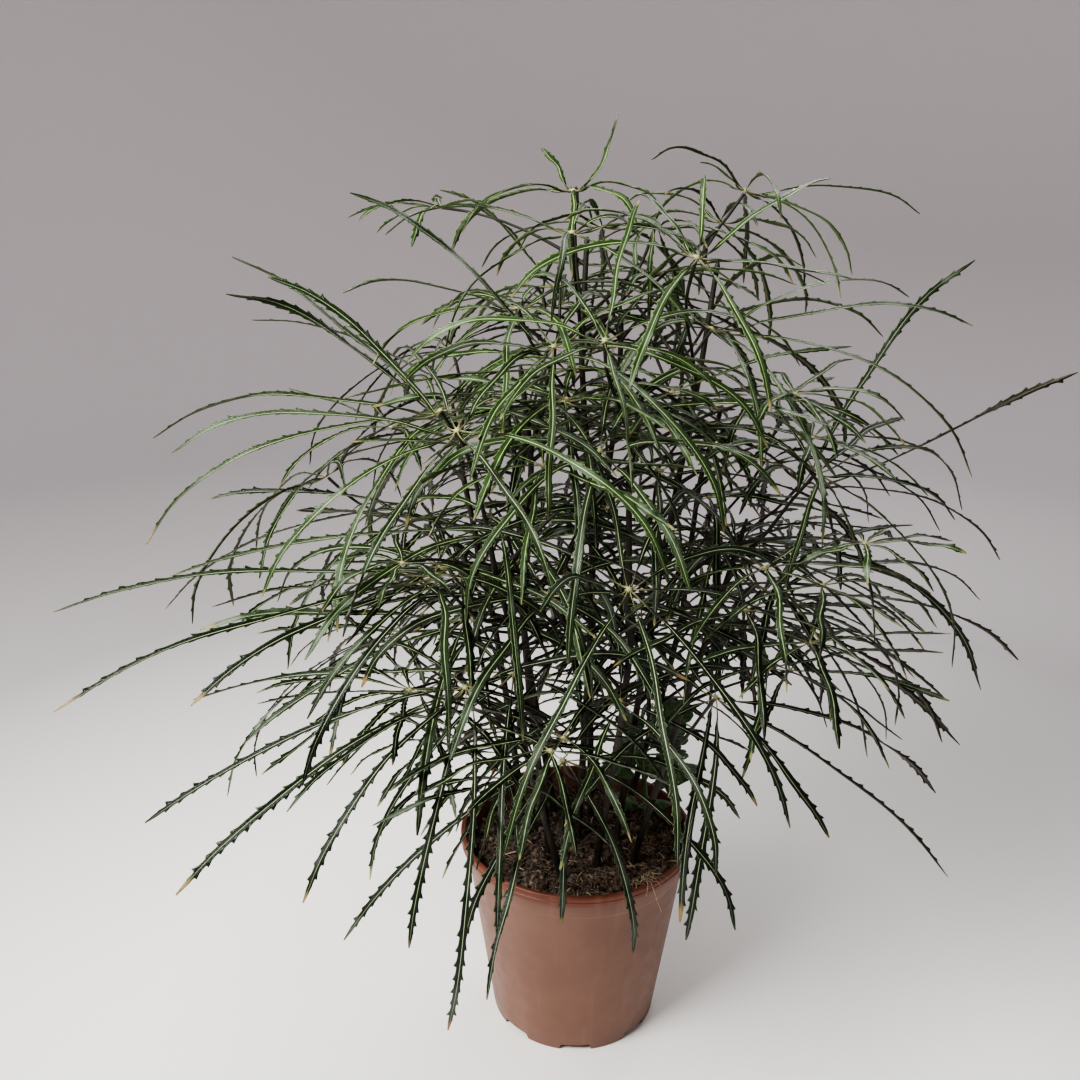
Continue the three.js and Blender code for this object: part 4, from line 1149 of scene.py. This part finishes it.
broad_radius = 16
broad_length = 0.041
broad_lobes = 7
broad_profile = [(4, -0.35), (8, -0.35), (12, -0.35), (14.6, -0.3), (15.8, -0.15), (16, 0.1),
                 (15.2, 0.3), (13.5, 0.35), (11.5, 0.35), (9, 0.35), (6.5, 0.35), (3.5, 0.35)]
broad_flat, broad_faces = lift_shape(turn_on_wheel("broad_blade", broad_profile, 84))
broad_shape, broad_veins = [], []
for x, y, z in broad_flat / mm:
    turn = math.atan2(y, x)
    share = math.hypot(x, y) / broad_radius
    lobe = 0.84 + 0.2 * abs(math.cos(turn * broad_lobes / 2)) ** 0.6
    lobe += 0.035 * abs(math.cos(turn * broad_lobes * 1.5))
    lobe *= 1 + 0.1 * math.cos(turn)
    grown = 1 + (lobe - 1) * share ** 1.5
    aside = abs((turn * broad_lobes / math.tau + 0.5) % 1 - 0.5) * math.tau / broad_lobes
    vein = math.exp(-(aside * share * broad_radius / 0.75) ** 2)
    quilt = 1.3 * math.sin(min(aside * broad_lobes, math.pi)) * share * (1 - share)
    sag = 3.6 * share ** 2 + 0.5 * abs(math.cos(turn * broad_lobes / 2)) * share ** 4
    broad_shape.append((x * grown, y * grown, z + quilt - sag - 0.25 * vein * (share < 0.97)))
    broad_veins.append((vein * (1 - 0.5 * share), share, z > 0))
broad_shape = np.array(broad_shape)
broad_veins = np.array(broad_veins, dtype=float)

shoot_shapes = []
for root, tip, upper in broad_places:
    length = (tip - root).length
    outward = (tip - root) / length
    across = upper.cross(outward).normalized()
    stance = np.array([outward, across, outward.cross(across)])
    middle = np.array(root + (tip - root) * 0.62)
    points = broad_shape * mm * (length / broad_length) @ stance + middle
    shoot_shapes.append((points, broad_faces, {"vein": broad_veins}))
    shoot_shapes.append(lay_strand(straight_path(root, middle), 0.95 * mm, "vein", (0.6, 0, 1), 6))

stem_path = [stem_foot, stem_bend] + straight_path(stem_bend, stem_top)[1:]
shoot_shapes.append(lay_strand(stem_path, 2.1 * mm, "vein", (0.3, 0, 1), 10))
young = gather("young_shoot_leaves", shoot_shapes)

young_finish = Finish("young_leaf", 0.36, 0.5)
young_draws = young_finish.held_values("vein")
young_tone = young_finish.mix(young_finish.span(young_finish.grain(120, 4), 0.35, 0.65),
                              (0.03, 0.07, 0.028), (0.075, 0.15, 0.055))
young_edge = young_finish.mix(young_finish.span(young_draws["Y"], 0.85, 1.0, 0.0, 0.5),
                              young_tone, (0.1, 0.15, 0.06))
young_face = young_finish.mix(young_finish.span(young_draws["Z"], 0.4, 0.6, 0.5, 0.0),
                              young_edge, (0.07, 0.1, 0.06))
young_finish.colour(young_finish.mix(young_draws["X"], young_face, (0.17, 0.24, 0.1)))
young_finish.relief(young_finish.grain(420, 4), 0.0005)
young.data.materials.append(young_finish.material)
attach(young, "root")
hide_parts("young_shoot")


# Floor, light and camera
# The plant stands on a pale floor, which rises behind it in a cove. The floor holds a painted
# pool of light: pale round the pot, painted darker farther off and behind it. Soft light comes
# from a large window at the upper left.

floor_radius = 1.9
floor_sides = 96
cove_radius = 1.1
cove_steps = 12
wall_height = 3.2

start_piece()
bpy.ops.mesh.primitive_circle_add(vertices=floor_sides, radius=floor_radius, fill_type="NGON")
floor = bpy.context.object
floor.name = "floor"
edit_all()
bpy.ops.mesh.region_to_loop()
cove_bends = [step * math.pi / 2 / cove_steps for step in range(cove_steps + 1)]
cove_rings = [(floor_radius + cove_radius * math.sin(bend), cove_radius * (1 - math.cos(bend)))
              for bend in cove_bends]
draw_up(cove_rings + [(floor_radius + cove_radius, wall_height)], 1)
face_outwards(inside=True)
bpy.ops.object.shade_smooth_by_angle(angle=math.radians(40))
floor_finish = Finish("pale_floor", 0.6, 0.3)
away_from_pot = floor_finish.node("VectorMath", {"operation": "LENGTH"},
                                  {0: floor_finish.place()}).outputs["Value"]
# Painted pool of light: the floor is painted pale near the pot and darker, grey-mauve, about a metre
# off, then a little lighter again up the cove's wall.
painted_light_pool = floor_finish.mix(floor_finish.span(away_from_pot, 0.36, 0.95),
                             (0.9, 0.89, 0.86), (0.5, 0.475, 0.48))
floor_finish.colour(floor_finish.mix(floor_finish.span(away_from_pot, 1.4, 3.2),
                                     painted_light_pool, (0.6, 0.555, 0.57)))
floor.data.materials.append(floor_finish.material)

world = bpy.data.worlds.new("pale_room")
bpy.context.scene.world = world
world.use_nodes = True
world.node_tree.nodes["Background"].inputs["Color"].default_value = (0.72, 0.71, 0.73, 1)
world.node_tree.nodes["Background"].inputs["Strength"].default_value = 0.27
bpy.context.scene.view_settings.look = "AgX - High Contrast"


def soft_light(name, place, target, size, power, tint):
    """A square lamp at a place, which faces another."""
    lamp = bpy.data.lights.new(name, "AREA")
    lamp.shape = "SQUARE"
    lamp.size = size
    lamp.energy = power
    lamp.color = tint
    holder = bpy.data.objects.new(name, lamp)
    holder.location = place
    holder.rotation_euler = (Vector(target) - Vector(place)).to_track_quat("-Z", "Y").to_euler()
    bpy.context.scene.collection.objects.link(holder)


soft_light("window", (-1.1, -0.9, 1.6), (0, 0, 0.35), 0.8, 57, (1.0, 0.99, 0.97))
soft_light("room", (1.5, -1.2, 1.5), (0, 0, 0.35), 1.4, 2.5, (0.96, 0.97, 1.0))
soft_light("behind", (0.7, 1.3, 1.8), (0, 0, 0.4), 1.0, 16, (1, 1, 1))

camera_data = bpy.data.cameras.new("camera")
camera_data.sensor_width = 36
camera_data.lens = 36.63
camera = bpy.data.objects.new("camera", camera_data)
look_down = math.radians(19.33)
roll = math.radians(0.41)
camera.matrix_world = (Matrix.Translation((-0.0316, -0.7779, 0.6902))
                       @ Matrix.Rotation(math.pi / 2 - look_down, 4, "X")
                       @ Matrix.Rotation(roll, 4, "Z"))
bpy.context.scene.collection.objects.link(camera)
bpy.context.scene.camera = camera
